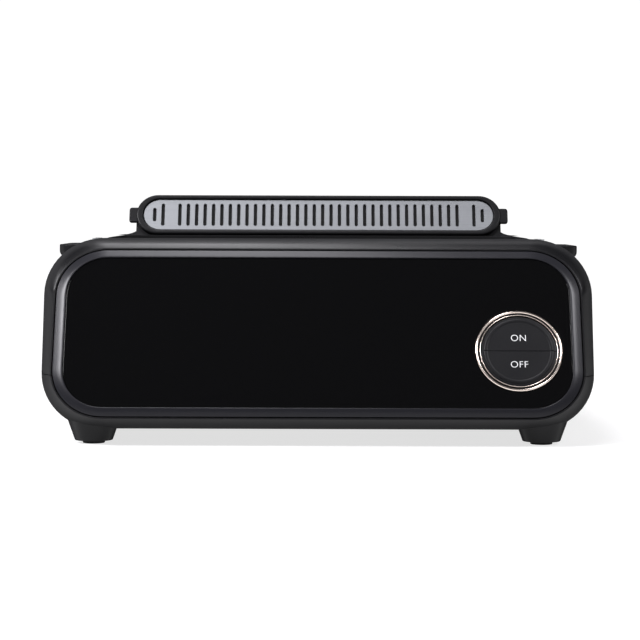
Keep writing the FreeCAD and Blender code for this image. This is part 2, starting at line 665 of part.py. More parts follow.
BOARD_LOW = ("key_side - board_left - board_edge", "-key_drop - board_drop - board_edge")
BOARD_HIGH = ("key_side + board_reach + board_edge", "-key_drop + board_rise + board_edge")
BOARD_POSTS = [(x, y) for x in ("key_side - board_left", "key_side + board_reach")
               for y in ("-key_drop - board_drop", "-key_drop + board_rise")]
control_plate = box("control_plate", (*BOARD_LOW, "-board_back - board_thick"), (*BOARD_HIGH, "-board_back"))
board_bores = [rod(f"board_bore{i}", "screw_round - 0.3 + screw_clear", 30, x, y, -30)
               for i, (x, y) in enumerate(BOARD_POSTS)]
node("control_board", on_panel(cut("control_board", control_plate, fuse("board_bores", *board_bores))))
board_screws = [screw(f"board_screw{i}", 2.4, "screw_round - 0.3", 8, x, y, "-board_back - board_thick - 2")
                for i, (x, y) in enumerate(BOARD_POSTS)]
node("control_board_screws", on_panel(group("control_board_screws", *board_screws)))

CARRIER_POINTS = [(x, y) for x in ("-lug_side", "lug_side") for y in ("lug_up", "-lug_down")]
carrier_plate = panel_slab("carrier_plate", "bezel_gap + 0.7", "bezel_gap + 0.7", GLASS_BACK, CARRIER_BACK)
carrier_posts = [rod(f"carrier_post{i}", 3, f"board_back + {CARRIER_BACK} + 1", x, y, "-board_back")
                 for i, (x, y) in enumerate(BOARD_POSTS)]
carrier_cuts = [key_rod("carrier_key_hole", "guide_round + 0.1", -20, 20),
                box("display_window", ("-display_half + 10", "-display_rise + 4", "-20"),
                    ("display_half - 10", "display_rise - 4", "20"))]
for i, (x, y) in enumerate(CARRIER_POINTS):
    carrier_cuts.append(rod(f"carrier_sink{i}", "screw_round * 2 + screw_clear", 10, x, y,
                            f"{GLASS_BACK} - {HEAD} - screw_clear"))
    carrier_cuts.append(rod(f"carrier_bore{i}", "screw_round + screw_clear", 20, x, y, "-15"))
carrier_body = fuse("carrier_body", carrier_plate, *carrier_posts)
node("panel_carrier", on_panel(cut("panel_carrier", carrier_body,
                                   fuse("carrier_voids", *carrier_cuts, *board_bores))))
carrier_screws = [screw(f"carrier_screw{i}", "screw_round * 2", "screw_round", 8, x, y,
                        f"{GLASS_BACK} - screw_clear", down=True) for i, (x, y) in enumerate(CARRIER_POINTS)]
node("carrier_screws", on_panel(group("carrier_screws", *carrier_screws)))
display = box("display_block", ("-display_half", "-display_rise", f"{CARRIER_BACK} - 8"),
              ("display_half", "display_rise", CARRIER_BACK))
node("display_module", on_panel(display))

# Pan and its handles
RIM_X = "(pan_half_x - rim_clear)"
RIM_Y = "(pan_half_y - rim_clear)"


def tapered(name, wall, top, floor):
    """The pan's drafted body between two heights, inside a wall."""
    mouth = rounded(name + "_mouth", f"{PAN_X} - {wall}", f"{PAN_Y} - {wall}", f"{PAN_ROUND} - {wall}")
    base = rounded(name + "_base", f"{PAN_X} - pan_draft - {wall}", f"{PAN_Y} - pan_draft - {wall}",
                   f"{PAN_ROUND} - pan_draft / 2 - {wall}")
    at(mouth, 0, "pan_centre", top)
    at(base, 0, "pan_centre", floor)
    body = DOC.addObject("Part::Loft", name)
    body.Sections = [base, mouth]
    body.Solid = True
    body.Ruled = True
    return softened(name + "_soft", body, 5 - (0 if wall == 0 else 1.5), flat_at("Z", floor))


pan_outer = tapered("pan_outer", 0, "pan_seat + 0.5", "pan_floor")
pan_inner = tapered("pan_inner", "pan_wall", "pan_seat + pan_rim_thick + 1", "pan_floor + pan_wall + 1")
pan_rim = at(slab("pan_rim", RIM_X, RIM_Y, "pan_round - rim_clear", "pan_rim_thick"),
             0, "pan_centre", "pan_seat")
EAR_TOP = "(pan_seat + pan_rim_thick)"
HANDLE_TOP = "(handle_low + handle_thick)"
HANDLE_IN = "(pan_half_x + 1)"
ears = []
handle_screws = []
for side, sign in (("left", "-"), ("right", "")):
    low, high = ("pan_half_x - 12", f"{HANDLE_IN} + 14")
    reach = (f"-({high})", f"-({low})") if sign else (low, high)
    ears.append(box(f"ear_{side}", (reach[0], "pan_centre - 20", HANDLE_TOP),
                    (reach[1], "pan_centre + 20", EAR_TOP)))
bores = []
for side, sign in (("left", "-"), ("right", "")):
    middle = f"{sign}({HANDLE_IN} + handle_reach) / 2"
    grip = at(slab(f"grip_{side}", f"(handle_reach - {HANDLE_IN}) / 2", "handle_half", "handle_round",
                   "handle_thick"), middle, "pan_centre", "handle_low")
    rounded_grip = softened(f"grip_soft_{side}", grip, "handle_belly", flat_at("Z", "handle_low"))
    rounded_grip = softened(f"grip_round_{side}", rounded_grip, 1.2, flat_at("Z", HANDLE_TOP))
    place = f"{sign}({HANDLE_IN} + 7)"
    side_bores = [rod(f"handle_bore_{side}{i}", "screw_round + screw_clear", 20, place,
                      f"pan_centre + ({offset})", "handle_low + 1.4") for i, offset in enumerate((-12, 12))]
    bores += side_bores
    grip_bores = fuse(f"handle_bores_{side}", *side_bores)
    node(f"pan_handle_{side}", cut(f"pan_handle_{side}", rounded_grip, grip_bores))
    handle_screws += [screw(f"handle_screw_{side}{i}", "screw_round * 1.8", "screw_round", 5, place,
                            f"pan_centre + ({offset})", f"{EAR_TOP} + 2", down=True)
                      for i, offset in enumerate((-12, 12))]
pan_blank = fuse("pan_blank", pan_outer, pan_rim, *ears)
node("cooking_pan", cut("pan_body", pan_blank, fuse("pan_voids", pan_inner, *bores)))
node("handle_screws", group("handle_screws", *handle_screws))

# Heat shield, heater and sensor
shield_form = slab("shield_blank", SHIELD_X, SHIELD_Y, SHIELD_ROUND, "pan_seat - shield_floor + shield_wall")
shield_blank = at(shield_form, 0, "pan_centre", "shield_floor - shield_wall")
shield_soft = softened("shield_soft", shield_blank, 8, flat_at("Z", "shield_floor - shield_wall"))
shield_void = at(slab("shield_void", f"{SHIELD_X} - shield_wall", f"{SHIELD_Y} - shield_wall",
                      f"{SHIELD_ROUND} - shield_wall", "pan_seat - shield_floor + 5"),
                 0, "pan_centre", "shield_floor")
shield_hollow = softened("shield_hollow", shield_void, 6.8, flat_at("Z", "shield_floor"))
shield_flange = at(slab("shield_flange", "pan_half_x - 0.3", "pan_half_y - 0.3", "pan_round - 0.3",
                        "pan_seat - ledge_height"), 0, "pan_centre", "ledge_height")
LEG_X = "(heater_half + 12)"
ROWS = [f"pan_centre + heater_pitch * {row}" for row in (-1.5, -0.5, 0.5, 1.5)]
shield_bores = [rod(f"shield_bore{i}", "heater_round + 0.3", 20, LEG_X, y, "shield_floor - 10")
                for i, y in enumerate((ROWS[0], ROWS[3]))]
shield_bores.append(rod("shield_sensor_bore", 3.4, 20, 0, "pan_centre", "shield_floor - 10"))
node("heat_shield", cut("heat_shield", fuse("shield_body", shield_soft, shield_flange),
                        fuse("shield_voids", shield_hollow, *shield_bores)))


def bend(name, radius, sweep, axis, turn, x, y, z):
    """Part of a ring of heater tube."""
    ring = bind(DOC.addObject("Part::Torus", name), Radius1=radius, Radius2="heater_round")
    ring.Angle3 = sweep
    return at(turned(ring, axis, turn), x, y, z)


runs = [rod(f"heater_run{i}", "heater_round", "2 * heater_half", "-heater_half", y, "heater_height",
            (1, 0, 0)) for i, y in enumerate(ROWS)]
turns = [bend(f"heater_turn{i}", "heater_pitch / 2", 180, (0, 0, 1), angle,
              f"{sign}heater_half", f"pan_centre + heater_pitch * ({i - 1})", "heater_height")
         for i, (sign, angle) in enumerate((("-", 90), ("", -90), ("-", 90)))]
drops = [bend(f"heater_drop{i}", 12, 90, (1, 0, 0), 90, "heater_half", y, "heater_height - 12")
         for i, y in enumerate((ROWS[0], ROWS[3]))]
legs = [rod(f"heater_leg{i}", "heater_round", "heater_height - 12 - shield_floor + 8", LEG_X, y,
            "shield_floor - 8") for i, y in enumerate((ROWS[0], ROWS[3]))]
heater = fuse("heater_element", *runs, *turns, *drops, *legs)
node("heater_element", heater)
brackets = []
for i, x in enumerate(("-heater_half * 0.6", "heater_half * 0.6")):
    bracket = box(f"heater_bracket_plate{i}", (f"{x} - 0.75", f"{ROWS[0]} - 7", "shield_floor"),
                  (f"{x} + 0.75", f"{ROWS[3]} + 7", "heater_height"))
    seats = [rod(f"heater_seat{i}_{row}", "heater_round", 10, f"{x} - 5", y, "heater_height", (1, 0, 0))
             for row, y in enumerate(ROWS)]
    brackets.append(cut(f"heater_bracket{i}", bracket, fuse(f"heater_bracket_seats{i}", *seats)))
node("heater_brackets", group("heater_brackets", *brackets))
collars = [cut(f"terminal_collar{i}", rod(f"terminal_ring{i}", "heater_round + 3", 5, LEG_X, y,
                                          "shield_floor - shield_wall - 5"),
               rod(f"terminal_bore{i}", "heater_round", 20, LEG_X, y, "shield_floor - 15"))
           for i, y in enumerate((ROWS[0], ROWS[3]))]
node("terminal_collars", group("terminal_collars", *collars))
tabs = [box(f"terminal_tab{i}", (f"{LEG_X} - 0.4", f"{y} - 3", "shield_floor - 17"),
            (f"{LEG_X} + 0.4", f"{y} + 3", "shield_floor - 8")) for i, y in enumerate((ROWS[0], ROWS[3]))]
node("heater_terminals", group("heater_terminals", *tabs))

sensor_cup = rod("sensor_cup", 9, 7, 0, "pan_centre", "pan_floor - 7.4")
sensor_stem = rod("sensor_stem", 3, "pan_floor - shield_floor", 0, "pan_centre", "shield_floor - 4")
sensor_stop = rod("sensor_stop", 6, 2, 0, "pan_centre", "shield_floor - shield_wall - 2")
node("pan_sensor", fuse("pan_sensor", sensor_cup, sensor_stem, sensor_stop))
coil = bind(DOC.addObject("Part::Helix", "sensor_coil"), Radius=5.5, Pitch=4.2,
            Height="pan_floor - 7.4 - shield_floor - 1.6")
at(coil, 0, "pan_centre", "shield_floor + 0.8")
wire = bind(DOC.addObject("Part::Circle", "sensor_wire"), Radius=0.6)
at(turned(wire, (1, 0, 0), 90), 5.5, "pan_centre", "shield_floor + 0.8")
spring = DOC.addObject("Part::Sweep", "sensor_spring")
spring.Sections = [wire]
spring.Spine = (coil, ["Edge1"])
spring.Solid = True
spring.Frenet = True
node("sensor_spring", spring)
node("thermal_cutout", rod("thermal_cutout", 8, 9, 60, "pan_centre + 40", "shield_floor - shield_wall - 9"))

# Exhaust hood and vent cover
def arch(name, half, top, foot):
    """A sketch of the hood's outline: round upper corners, straight sides down to its foot."""
    a, b, low = size(half), size(top), -size(foot)
    vector = FreeCAD.Vector
    sketch = DOC.addObject("Sketcher::SketchObject", name)
    line, turn = Part.LineSegment, Part.ArcOfCircle
    right = turn(Part.Circle(vector(a - b, 0, 0), vector(0, 0, 1), b), 0, math.pi / 2)
    left = turn(Part.Circle(vector(b - a, 0, 0), vector(0, 0, 1), b), math.pi / 2, math.pi)
    for piece in (line(vector(-a, low, 0), vector(a, low, 0)),
                  line(vector(a, low, 0), vector(a, 0, 0)), right,
                  line(vector(a - b, b, 0), vector(b - a, b, 0)), left,
                  line(vector(-a, 0, 0), vector(-a, low, 0))):
        sketch.addGeometry(piece, False)
    rule = Sketcher.Constraint
    for first, second in ((0, 1), (5, 0)):
        sketch.addConstraint(rule("Coincident", first, 2, second, 1))
    for first, second in ((1, 2), (2, 3), (3, 4), (4, 5)):
        sketch.addConstraint(rule("Tangent", first, 2, second, 1))
    for kind, item in (("Horizontal", 0), ("Vertical", 1), ("Vertical", 5), ("Horizontal", 3)):
        sketch.addConstraint(rule(kind, item))
    sketch.addConstraint(rule("Equal", 2, 4))
    measures = ((("Radius", 2, b), top), (("DistanceX", -1, 1, 0, 2, a), half),
                (("DistanceX", 0, 1, -1, 1, a), half), (("DistanceY", 0, 1, -1, 1, -low), foot),
                (("DistanceY", -1, 1, 3, 1, b), top))
    for numbers, formula in measures:
        place = sketch.addConstraint(rule(*numbers))
        sketch.setExpression(f"Constraints[{place}]", linked(formula))
    return sketch


def hood_form(name, wall, front, rear):
    """The hood drawn straight back from its leaning face, its skin moved inwards by a wall."""
    outline = arch(name + "_outline", f"vent_half - {wall}", f"vent_round - {wall}",
                   "riser_lift / cos(lean) + 8")
    at(outline, 0, f"-({front}) * tan(lean)", front)
    block = on_vent(drawn_out(name + "_block", outline, "case_depth", BACK))
    room = box(name + "_room", ("-case_width", "-case_depth", "0"), ("case_width", rear, "2 * deck_height"))
    form = common(name + "_form", block, room)
    low = size("deck_height") - 2
    return softened(name, form, f"hood_round - {wall}",
                    flat_at("Y", rear, lambda edge: edge.CenterOfMass.z > low))


hood_outer = hood_form("hood_outer", 0, 0, "riser_back")
hood_inner = hood_form("hood_inner", "hood_wall", "-hood_wall", "riser_back - hood_wall")
PLINTH_Y = "(riser_front + riser_back) / 2"
foot_line = rounded("plinth_foot", "vent_half + plinth_flare", "(riser_back - riser_front) / 2 + 9", 14)
top_line = rounded("plinth_top", "vent_half + 0.6", "(riser_back - riser_front) / 2 + 0.6", 11)
at(foot_line, 0, PLINTH_Y, "deck_height - 0.5")
at(top_line, 0, PLINTH_Y, "deck_height + plinth_rise")
plinth = DOC.addObject("Part::Loft", "plinth")
plinth.Sections = [foot_line, top_line]
plinth.Solid = True
plinth.Ruled = True
behind_vent = on_vent(box("behind_vent", ("-case_width", "-case_depth", "-case_depth"),
                          ("case_width", "case_depth", 0)))
plinth_cut = common("plinth_cut", plinth, behind_vent)
MOUTH_X = "(plate_half - 1.6)"
MOUTH_S = "(plate_round - 1.6)"
mouth = on_vent(at(stadium("vent_mouth", MOUTH_X, MOUTH_S, 24), 0, 0, -12))
hood_posts = [rod(f"hood_post{i}", 4, 12, x, y, "deck_height - 1") for i, (x, y) in enumerate(HOOD_POINTS)]
hood_solid = fuse("hood_solid", hood_outer, plinth_cut)
hood_shell = cut("hood_shell", hood_solid, fuse("hood_voids", hood_inner, mouth))
hood_full = fuse("hood_full", hood_shell, *hood_posts)
hood_bored = cut("hood_bored", hood_full, fuse("hood_bores", *deck_bores))
node("exhaust_hood", cut("exhaust_hood", hood_bored, OUTER))
hood_screws = [screw(f"hood_screw{i}", "screw_round * 1.9", "screw_round", 9, x, y,
                     f"deck_height - case_wall - {HEAD}") for i, (x, y) in enumerate(HOOD_POINTS)]
node("hood_screws", group("hood_screws", *hood_screws))

frame_low = "cover_gap"
frame_high = "(cover_gap + vent_thick)"
lip_top = "(cover_gap + 1.2)"
frame_blank = at(stadium("frame_blank", "vent_half", "vent_round", "vent_thick"), 0, 0, frame_low)
TAB_THICK = 3


def tab_end(edge):
    """The short upright edges at the free end of a tab."""
    return abs(edge.CenterOfMass.x) > size("tab_reach") - 0.1 and edge.BoundBox.ZLength > TAB_THICK * 0.8


vent_tabs = []
for side, low, high in (("left", "-tab_reach", "-vent_half + 4"), ("right", "vent_half - 4", "tab_reach")):
    tab = box(f"vent_tab_{side}", (low, "-tab_height / 2", frame_low),
              (high, "tab_height / 2", f"cover_gap + {TAB_THICK}"))
    vent_tabs.append(softened(f"tab_soft_{side}", tab, 1.4, tab_end))
frame_soft = softened("frame_soft", frame_blank, 1.5, flat_at("Z", frame_high))
front_hole = at(stadium("frame_front_hole", "plate_half + 0.15", "plate_round + 0.15", 20), 0, 0, lip_top)
rear_hole = at(stadium("frame_rear_hole", "plate_half - 1.8", "plate_round - 1.8", 20), 0, 0, -5)
frame_whole = on_vent(cut("frame_whole", fuse("frame_body", frame_soft, *vent_tabs),
                          fuse("frame_voids", front_hole, rear_hole)))
deck_room = box("deck_room", ("-case_width", "-case_depth", "0"),
                ("case_width", "case_depth", "deck_height + cover_gap"))
node("vent_frame", cut("vent_frame", frame_whole, deck_room))
node("mesh_filter", on_vent(at(stadium("mesh_filter", "plate_half - 2.1", "plate_round - 2.1", "4.5"),
                               0, 0, f"{lip_top} - 4.5")))

plate = DOC.addObject("PartDesign::Body", "vent_plate")


def plane_of(body, role):
    return next(item for item in body.Origin.OriginFeatures if item.Role == role)


def body_sketch(body, name, role, x=0, y=0, z=0):
    """A sketch on one of the body's own planes, moved within it."""
    sketch = body.newObject("Sketcher::SketchObject", name)
    sketch.AttachmentSupport = [(plane_of(body, role), "")]
    sketch.MapMode = "FlatFace"
    place = FreeCAD.Vector(size(x), size(y), size(z))
    sketch.AttachmentOffset = FreeCAD.Placement(place, FreeCAD.Rotation())
    bind(sketch, AttachmentOffset_Base_x=x, AttachmentOffset_Base_y=y, AttachmentOffset_Base_z=z)
    return sketch


def body_pad(body, name, sketch, length):
    pad = body.newObject("PartDesign::Pad", name)
    pad.Profile = sketch
    bind(pad, Length=length)
    return pad


def slot_row(body, name, length, start, count, spacing):
    """Slots cut through the plate at even spacing along it."""
    sketch = body_sketch(body, name + "_outline", "XY_Plane", start)
    draw_rounded(sketch, "slot_width / 2", f"{length} / 2", "slot_width / 2 - 0.01")
    pocket = body.newObject("PartDesign::Pocket", name)
    pocket.Profile = sketch
    pocket.Type = 1
    pocket.Midplane = True
    pattern = body.newObject("PartDesign::LinearPattern", name + "s")
    pattern.Originals = [pocket]
    pattern.Direction = (plane_of(body, "X_Axis"), [""])
    bind(pattern, Length=f"{spacing} * {count - 1}")
    pattern.Occurrences = count
    body.Tip = pattern
    return pattern


PLATE_END = 9
ROW_END = 3
SLOTS = 2 * (int((size("plate_half") - PLATE_END) / size("slot_pitch") + 0.5) - ROW_END)
plate_outline = body_sketch(plate, "plate_outline", "XY_Plane")
draw_rounded(plate_outline, "plate_half", "plate_round", "plate_round - 0.01")
body_pad(plate, "plate_pad", plate_outline, "plate_thick")
slot_row(plate, "main_slot", "slot_length", f"-slot_pitch * {(SLOTS - 1) / 2}", SLOTS, "slot_pitch")
for row, length, spaces in (("end_slot", "slot_length", SLOTS + 3),
                            ("short_slots", "short_slot", SLOTS + 5)):
    slot_row(plate, row, length, f"-slot_pitch * {spaces / 2}", 2, f"slot_pitch * {spaces}")
on_vent(plate)
slope_y = f"{VENT_Y} - {lip_top} * cos(lean)"
slope_z = f"{VENT_Z} + {lip_top} * sin(lean)"
node("vent_plate", at(plate, 0, slope_y, slope_z))

# Fan
WALL = 2
HOUSE_LOW = ("-fan_half - 10", "fan_back - 30", "fan_height - 39")
HOUSE_HIGH = ("fan_half + 10", "fan_back + 30", "deck_height - case_wall")
house = box("fan_house", HOUSE_LOW, HOUSE_HIGH)
house_void = box("fan_house_void", [f"{low} + {WALL}" for low in HOUSE_LOW],
                 (f"{HOUSE_HIGH[0]} - {WALL}", f"{HOUSE_HIGH[1]} - {WALL}", "deck_height + 5"))
nozzle = box("fan_nozzle", ("-fan_half", "fan_back + 28", "fan_height - 37"),
             ("fan_half", f"{REAR} - case_wall", "fan_height - 11"))
nozzle_void = box("fan_nozzle_void", (f"-fan_half + {WALL}", "fan_back + 20", f"fan_height - 37 + {WALL}"),
                  (f"fan_half - {WALL}", f"{REAR} + 5", f"fan_height - 11 - {WALL}"))
BUSH = 6.5
SHAFT_FIT = "(shaft_round + 0.05)"
MOTOR_LONG = 36


def fan_rod(name, radius, length, start, y="fan_back"):
    """A rod along the fan's axis, or beside it."""
    return rod(name, radius, length, start, y, "fan_height", (1, 0, 0))


shaft_hole = fan_rod("fan_shaft_hole", 4, 40, "fan_half")
bush_hole = fan_rod("fan_bush_hole", BUSH, 40, "-fan_half - 30")
MOTOR_POINTS = ("fan_back - 13", "fan_back + 13")
motor_bores = [fan_rod(f"motor_bore{i}", "screw_round + screw_clear", 30, "fan_half + 5", y)
               for i, y in enumerate(MOTOR_POINTS)]
house_voids = fuse("fan_house_voids", house_void, nozzle_void, shaft_hole, bush_hole, *motor_bores)
node("fan_housing", cut("fan_housing", fuse("fan_house_body", house, nozzle), house_voids))
bush_ring = fan_rod("fan_bush_ring", BUSH, 6, "-fan_half - 12")
node("fan_bush", cut("fan_bush", bush_ring, fan_rod("fan_bush_bore", SHAFT_FIT, 60, "-fan_half - 30")))
node("fan_shaft", fan_rod("fan_shaft", "shaft_round", "2 * fan_half + 36", "-fan_half - 12"))
motor_can = softened("motor_can", fan_rod("motor_blank", 21, MOTOR_LONG, "fan_half + 10"), 2.5,
                     flat_at("X", f"fan_half + 10 + {MOTOR_LONG}"))
motor_bore = fan_rod("motor_shaft_bore", SHAFT_FIT, 26, "fan_half")
node("fan_motor", cut("fan_motor", motor_can, fuse("motor_voids", motor_bore, *motor_bores)))
motor_screws = [screw(f"motor_screw{i}", "screw_round * 1.9", "screw_round", 12, "fan_half + 6", y,
                      "fan_height", (1, 0, 0)) for i, y in enumerate(MOTOR_POINTS)]
node("motor_screws", group("motor_screws", *motor_screws))

rotor = DOC.addObject("PartDesign::Body", "fan_rotor")


def disc_pad(name, start, thick):
    sketch = body_sketch(rotor, name + "_outline", "YZ_Plane", 0, 0, start)
    for radius in ("fan_round", "shaft_round"):
        ring = Part.Circle(FreeCAD.Vector(0, 0, 0), FreeCAD.Vector(0, 0, 1), size(radius))
        circle = sketch.addGeometry(ring)
        sketch.addConstraint(Sketcher.Constraint("Coincident", circle, 3, -1, 1))
        rule = sketch.addConstraint(Sketcher.Constraint("Radius", circle, size(radius)))
        sketch.setExpression(f"Constraints[{rule}]", linked(radius))
    return body_pad(rotor, name, sketch, thick)


DISC = 2
disc_pad("left_disc", "-fan_half", DISC)
blade_sketch = body_sketch(rotor, "blade_outline", "YZ_Plane", "fan_round - 5.2", 0, f"-fan_half + {DISC}")
draw_rounded(blade_sketch, 4.4, 0.6, 0.5)
blade_pad = body_pad(rotor, "blade", blade_sketch, f"2 * fan_half - {2 * DISC}")
blades = rotor.newObject("PartDesign::PolarPattern", "blades")
blades.Originals = [blade_pad]
blades.Axis = (plane_of(rotor, "X_Axis"), [""])
blades.Angle = 360
blades.Occurrences = int(size("fan_blades"))
disc_pad("right_disc", f"fan_half - {DISC}", DISC)
disc_pad("middle_disc", f"-{DISC} / 2", DISC)
rotor.Tip = rotor.Group[-1]
node("fan_rotor", at(rotor, 0, "fan_back", "fan_height"))

grille = box("grille_plate", ("-fan_half + 0.3", f"{REAR} - case_wall", "fan_height - 36.7"),
             ("fan_half - 0.3", REAR, "fan_height - 11.3"))
GRILLE_SLOTS = 24
GRILLE_EDGE = 8
GRILLE_PITCH = f"(2 * (fan_half - {GRILLE_EDGE}) / {GRILLE_SLOTS})"
grille_slots = []
for i in range(GRILLE_SLOTS):
    start = f"-fan_half + {GRILLE_EDGE} + {GRILLE_PITCH} * {i}"
    grille_slots.append(box(f"grille_slot{i}", (start, f"{REAR} - 10", "fan_height - 33"),
                            (f"{start} + 6", f"{REAR} + 10", "fan_height - 15")))
node("outlet_grille", cut("outlet_grille", grille, fuse("grille_slots", *grille_slots)))

# Power side
power_plate = box("power_plate", ("power_side", "power_front", "power_height"),
                  ("power_side + power_long", "power_front + power_wide", "power_height + board_thick"))
node("power_board", cut("power_board", power_plate, fuse("power_board_bores", *power_bores)))
power_screws = [screw(f"power_screw{i}", 2.4, "screw_round - 0.3", 7, x, y,
                      f"power_height + board_thick + {HEAD}", down=True)
                for i, (x, y) in enumerate(POWER_POINTS)]
node("power_board_screws", group("power_board_screws", *power_screws))

BOARD_TOP = "(power_height + board_thick)"
PARTS = (("relay", 20, 18, 29, 13, 16), ("filter_coil", 60, 14, 22, 18, 18),
         ("fuse_clip", 95, 12, 26, 8, 9), ("supply", 24, 50, 34, 26, 20),
         ("controller", 100, 66, 16, 16, 3), ("connector", 118, 40, 10, 30, 8))
parts_on_board = [box(name, (f"power_side + {x}", f"power_front + {y}", BOARD_TOP),
                      (f"power_side + {x + long}", f"power_front + {y + wide}", f"{BOARD_TOP} + {tall}"))
                  for name, x, y, long, wide, tall in PARTS]
CANS = (("can", 76, 52, 6.5, 18), ("small_can", 76, 72, 5, 14), ("film_can", 92, 40, 4, 12))
parts_on_board += [rod(name, radius, tall, f"power_side + {x}", f"power_front + {y}", BOARD_TOP)
                   for name, x, y, radius, tall in CANS]
node("power_components", group("power_components", *parts_on_board))

inlet_body = box("inlet_body", ("inlet_side - 13.8", f"{REAR} - 24", "inlet_height - 9.8"),
                 ("inlet_side + 13.8", REAR, "inlet_height + 9.8"))
inlet_flange = box("inlet_flange", ("inlet_side - 18", f"{REAR} - case_wall - 2.5", "inlet_height - 11.5"),
                   ("inlet_side + 18", f"{REAR} - case_wall", "inlet_height + 11.5"))
INLET_DEPTH = 16
inlet_socket = box("inlet_socket", ("inlet_side - 11", f"{REAR} - {INLET_DEPTH}", "inlet_height - 7"),
                   ("inlet_side + 11", f"{REAR} + 5", "inlet_height + 7"))
PINS = ((-7, -1.5), (0, 2), (7, -1.5))
pin_bores = []
pins = []
for i, (x, z) in enumerate(PINS):
    low = (f"inlet_side + ({x}) - 1", f"{REAR} - 28", f"inlet_height + ({z}) - 2")
    high = (f"inlet_side + ({x}) + 1", f"{REAR} - 3", f"inlet_height + ({z}) + 2")
    pins.append(box(f"pin{i}", low, high))
    pin_bores.append(box(f"pin_bore{i}", low, high))
node("power_inlet", cut("power_inlet", fuse("inlet_blank", inlet_body, inlet_flange),
                        fuse("inlet_voids", inlet_socket, *pin_bores)))
node("inlet_pins", group("inlet_pins", *pins))

DOC.recompute()
failed = [item.Name for item in DOC.Objects if {"Invalid", "Error"} & set(item.State)]
if failed:
    raise RuntimeError("failed: " + ", ".join(failed))
for name, thing in NODES:
    shape = thing.Shape
    if shape.isNull() or not shape.isValid() or not shape.Solids:
        raise RuntimeError(f"{name} has no sound solid")

os.makedirs("parts", exist_ok=True)
for name, thing in NODES:
    thing.Shape.exportStep(f"parts/{name}.step")
print(len(NODES), "nodes")
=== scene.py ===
"""The looks of an electric multi cooker: a leaning glass front in a satin frame, split round keys in a
rose gold ring, a lift-out pan and a slotted exhaust hood. Metres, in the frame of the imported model."""

import json
from math import atan2, cos, pi, radians, sin, sqrt, tan

import bmesh
import bpy
from bpy.props import FloatProperty, FloatVectorProperty, IntProperty, PointerProperty
from mathutils import Matrix, Vector


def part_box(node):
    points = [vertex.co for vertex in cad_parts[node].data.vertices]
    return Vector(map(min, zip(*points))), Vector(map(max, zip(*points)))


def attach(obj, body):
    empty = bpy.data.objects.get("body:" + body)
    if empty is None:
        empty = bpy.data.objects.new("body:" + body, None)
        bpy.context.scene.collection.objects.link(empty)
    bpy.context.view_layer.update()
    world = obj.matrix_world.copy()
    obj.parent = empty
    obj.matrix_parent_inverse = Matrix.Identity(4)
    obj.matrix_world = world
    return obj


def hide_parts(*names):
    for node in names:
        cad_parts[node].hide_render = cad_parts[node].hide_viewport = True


bl_info = {
    "name": "Multi cooker",
    "version": (1, 0, 0),
    "blender": (4, 5, 0),
    "location": "3D View > Sidebar > Cooker",
    "description": "Builds a table-top multi cooker around its packed model",
    "category": "Object",
}

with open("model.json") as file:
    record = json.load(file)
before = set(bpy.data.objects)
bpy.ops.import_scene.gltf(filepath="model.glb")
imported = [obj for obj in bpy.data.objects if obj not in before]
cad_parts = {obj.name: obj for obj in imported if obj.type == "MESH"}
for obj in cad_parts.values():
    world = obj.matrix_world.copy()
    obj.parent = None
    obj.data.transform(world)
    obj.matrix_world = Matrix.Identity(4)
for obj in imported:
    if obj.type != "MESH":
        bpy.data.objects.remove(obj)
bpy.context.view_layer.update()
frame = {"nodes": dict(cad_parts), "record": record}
UPPER_LOW, UPPER_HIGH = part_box("upper_casing")
LOWER_LOW, LOWER_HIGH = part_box("lower_casing")
GRIP_LOW, GRIP_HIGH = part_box("pan_handle_right")
HALF_WIDTH = UPPER_HIGH.x
DECK = UPPER_HIGH.z
REAR = UPPER_HIGH.y
FRONT = LOWER_LOW.y
BELLY = LOWER_LOW.z
FAR = 1.0  # beyond every side of the cooker


def mm(value):
    return value / 1000


def srgb(code):
    """An sRGB hex colour as linear red, green and blue."""
    parts = [int(code[place:place + 2], 16) / 255 for place in (1, 3, 5)]
    return tuple(part / 12.92 if part <= 0.04045 else ((part + 0.055) / 1.055) ** 2.4 for part in parts)


def length(name, value, note):
    return FloatProperty(name=name, description=note, default=mm(value), unit="LENGTH", precision=5)


def tint(name, code, note):
    return FloatVectorProperty(name=name, description=note, default=srgb(code), subtype="COLOR", size=3,
                               min=0, max=1)


class CasingSizes(bpy.types.PropertyGroup):
    lean: FloatProperty(name="Lean", description="Lean of the front and the vent from upright",
                        default=radians(26.5), subtype="ANGLE")
    wall: length("Wall", 2.6, "Thickness of the moulded casing")
    corner: length("Corner", 42, "Radius of the long corners")
    corner_drop: length("Corner drop", 4.2, "How much tighter the corners are at the front rim")
    top_rise: length("Top rise", 7, "Roll from the front rim up to the deck")
    bottom_rise: length("Bottom rise", 10.1, "Roll from the front rim down to the belly")
    side_rise: length("Side rise", 9.45, "Roll from the front rim out to the side")
    top_roll: length("Top roll", 16, "Depth of the roll at the deck")
    bottom_roll: length("Bottom roll", 38, "Depth of the roll at the belly")
    rear_round: length("Rear edge", 12, "Radius of the edge round the rear wall")
    rim: length("Rim", 0.9, "Flat rim round the front opening")
    edge: length("Edge", 0.5, "Softness of the moulded edges")


class PanelSizes(bpy.types.PropertyGroup):
    groove: length("Groove", 0.8, "Parting groove round the bezel")
    bezel_side: length("Bezel side", 7.2, "Width of the bezel at the sides")
    bezel_top: length("Bezel top", 6.4, "Width of the bezel at top and bottom")
    bezel_crown: length("Bezel crown", 1.8, "Height of the bezel in front of the rim")
    glass_round: length("Glass corner", 29, "Radius of the glass corners")
    glass_proud: length("Glass proud", 0.8, "Glass face in front of the rim")
    glass_thick: length("Glass thickness", 3, "Thickness of the front glass")
    glass_gap: length("Glass gap", 0.25, "Gap between glass and bezel")


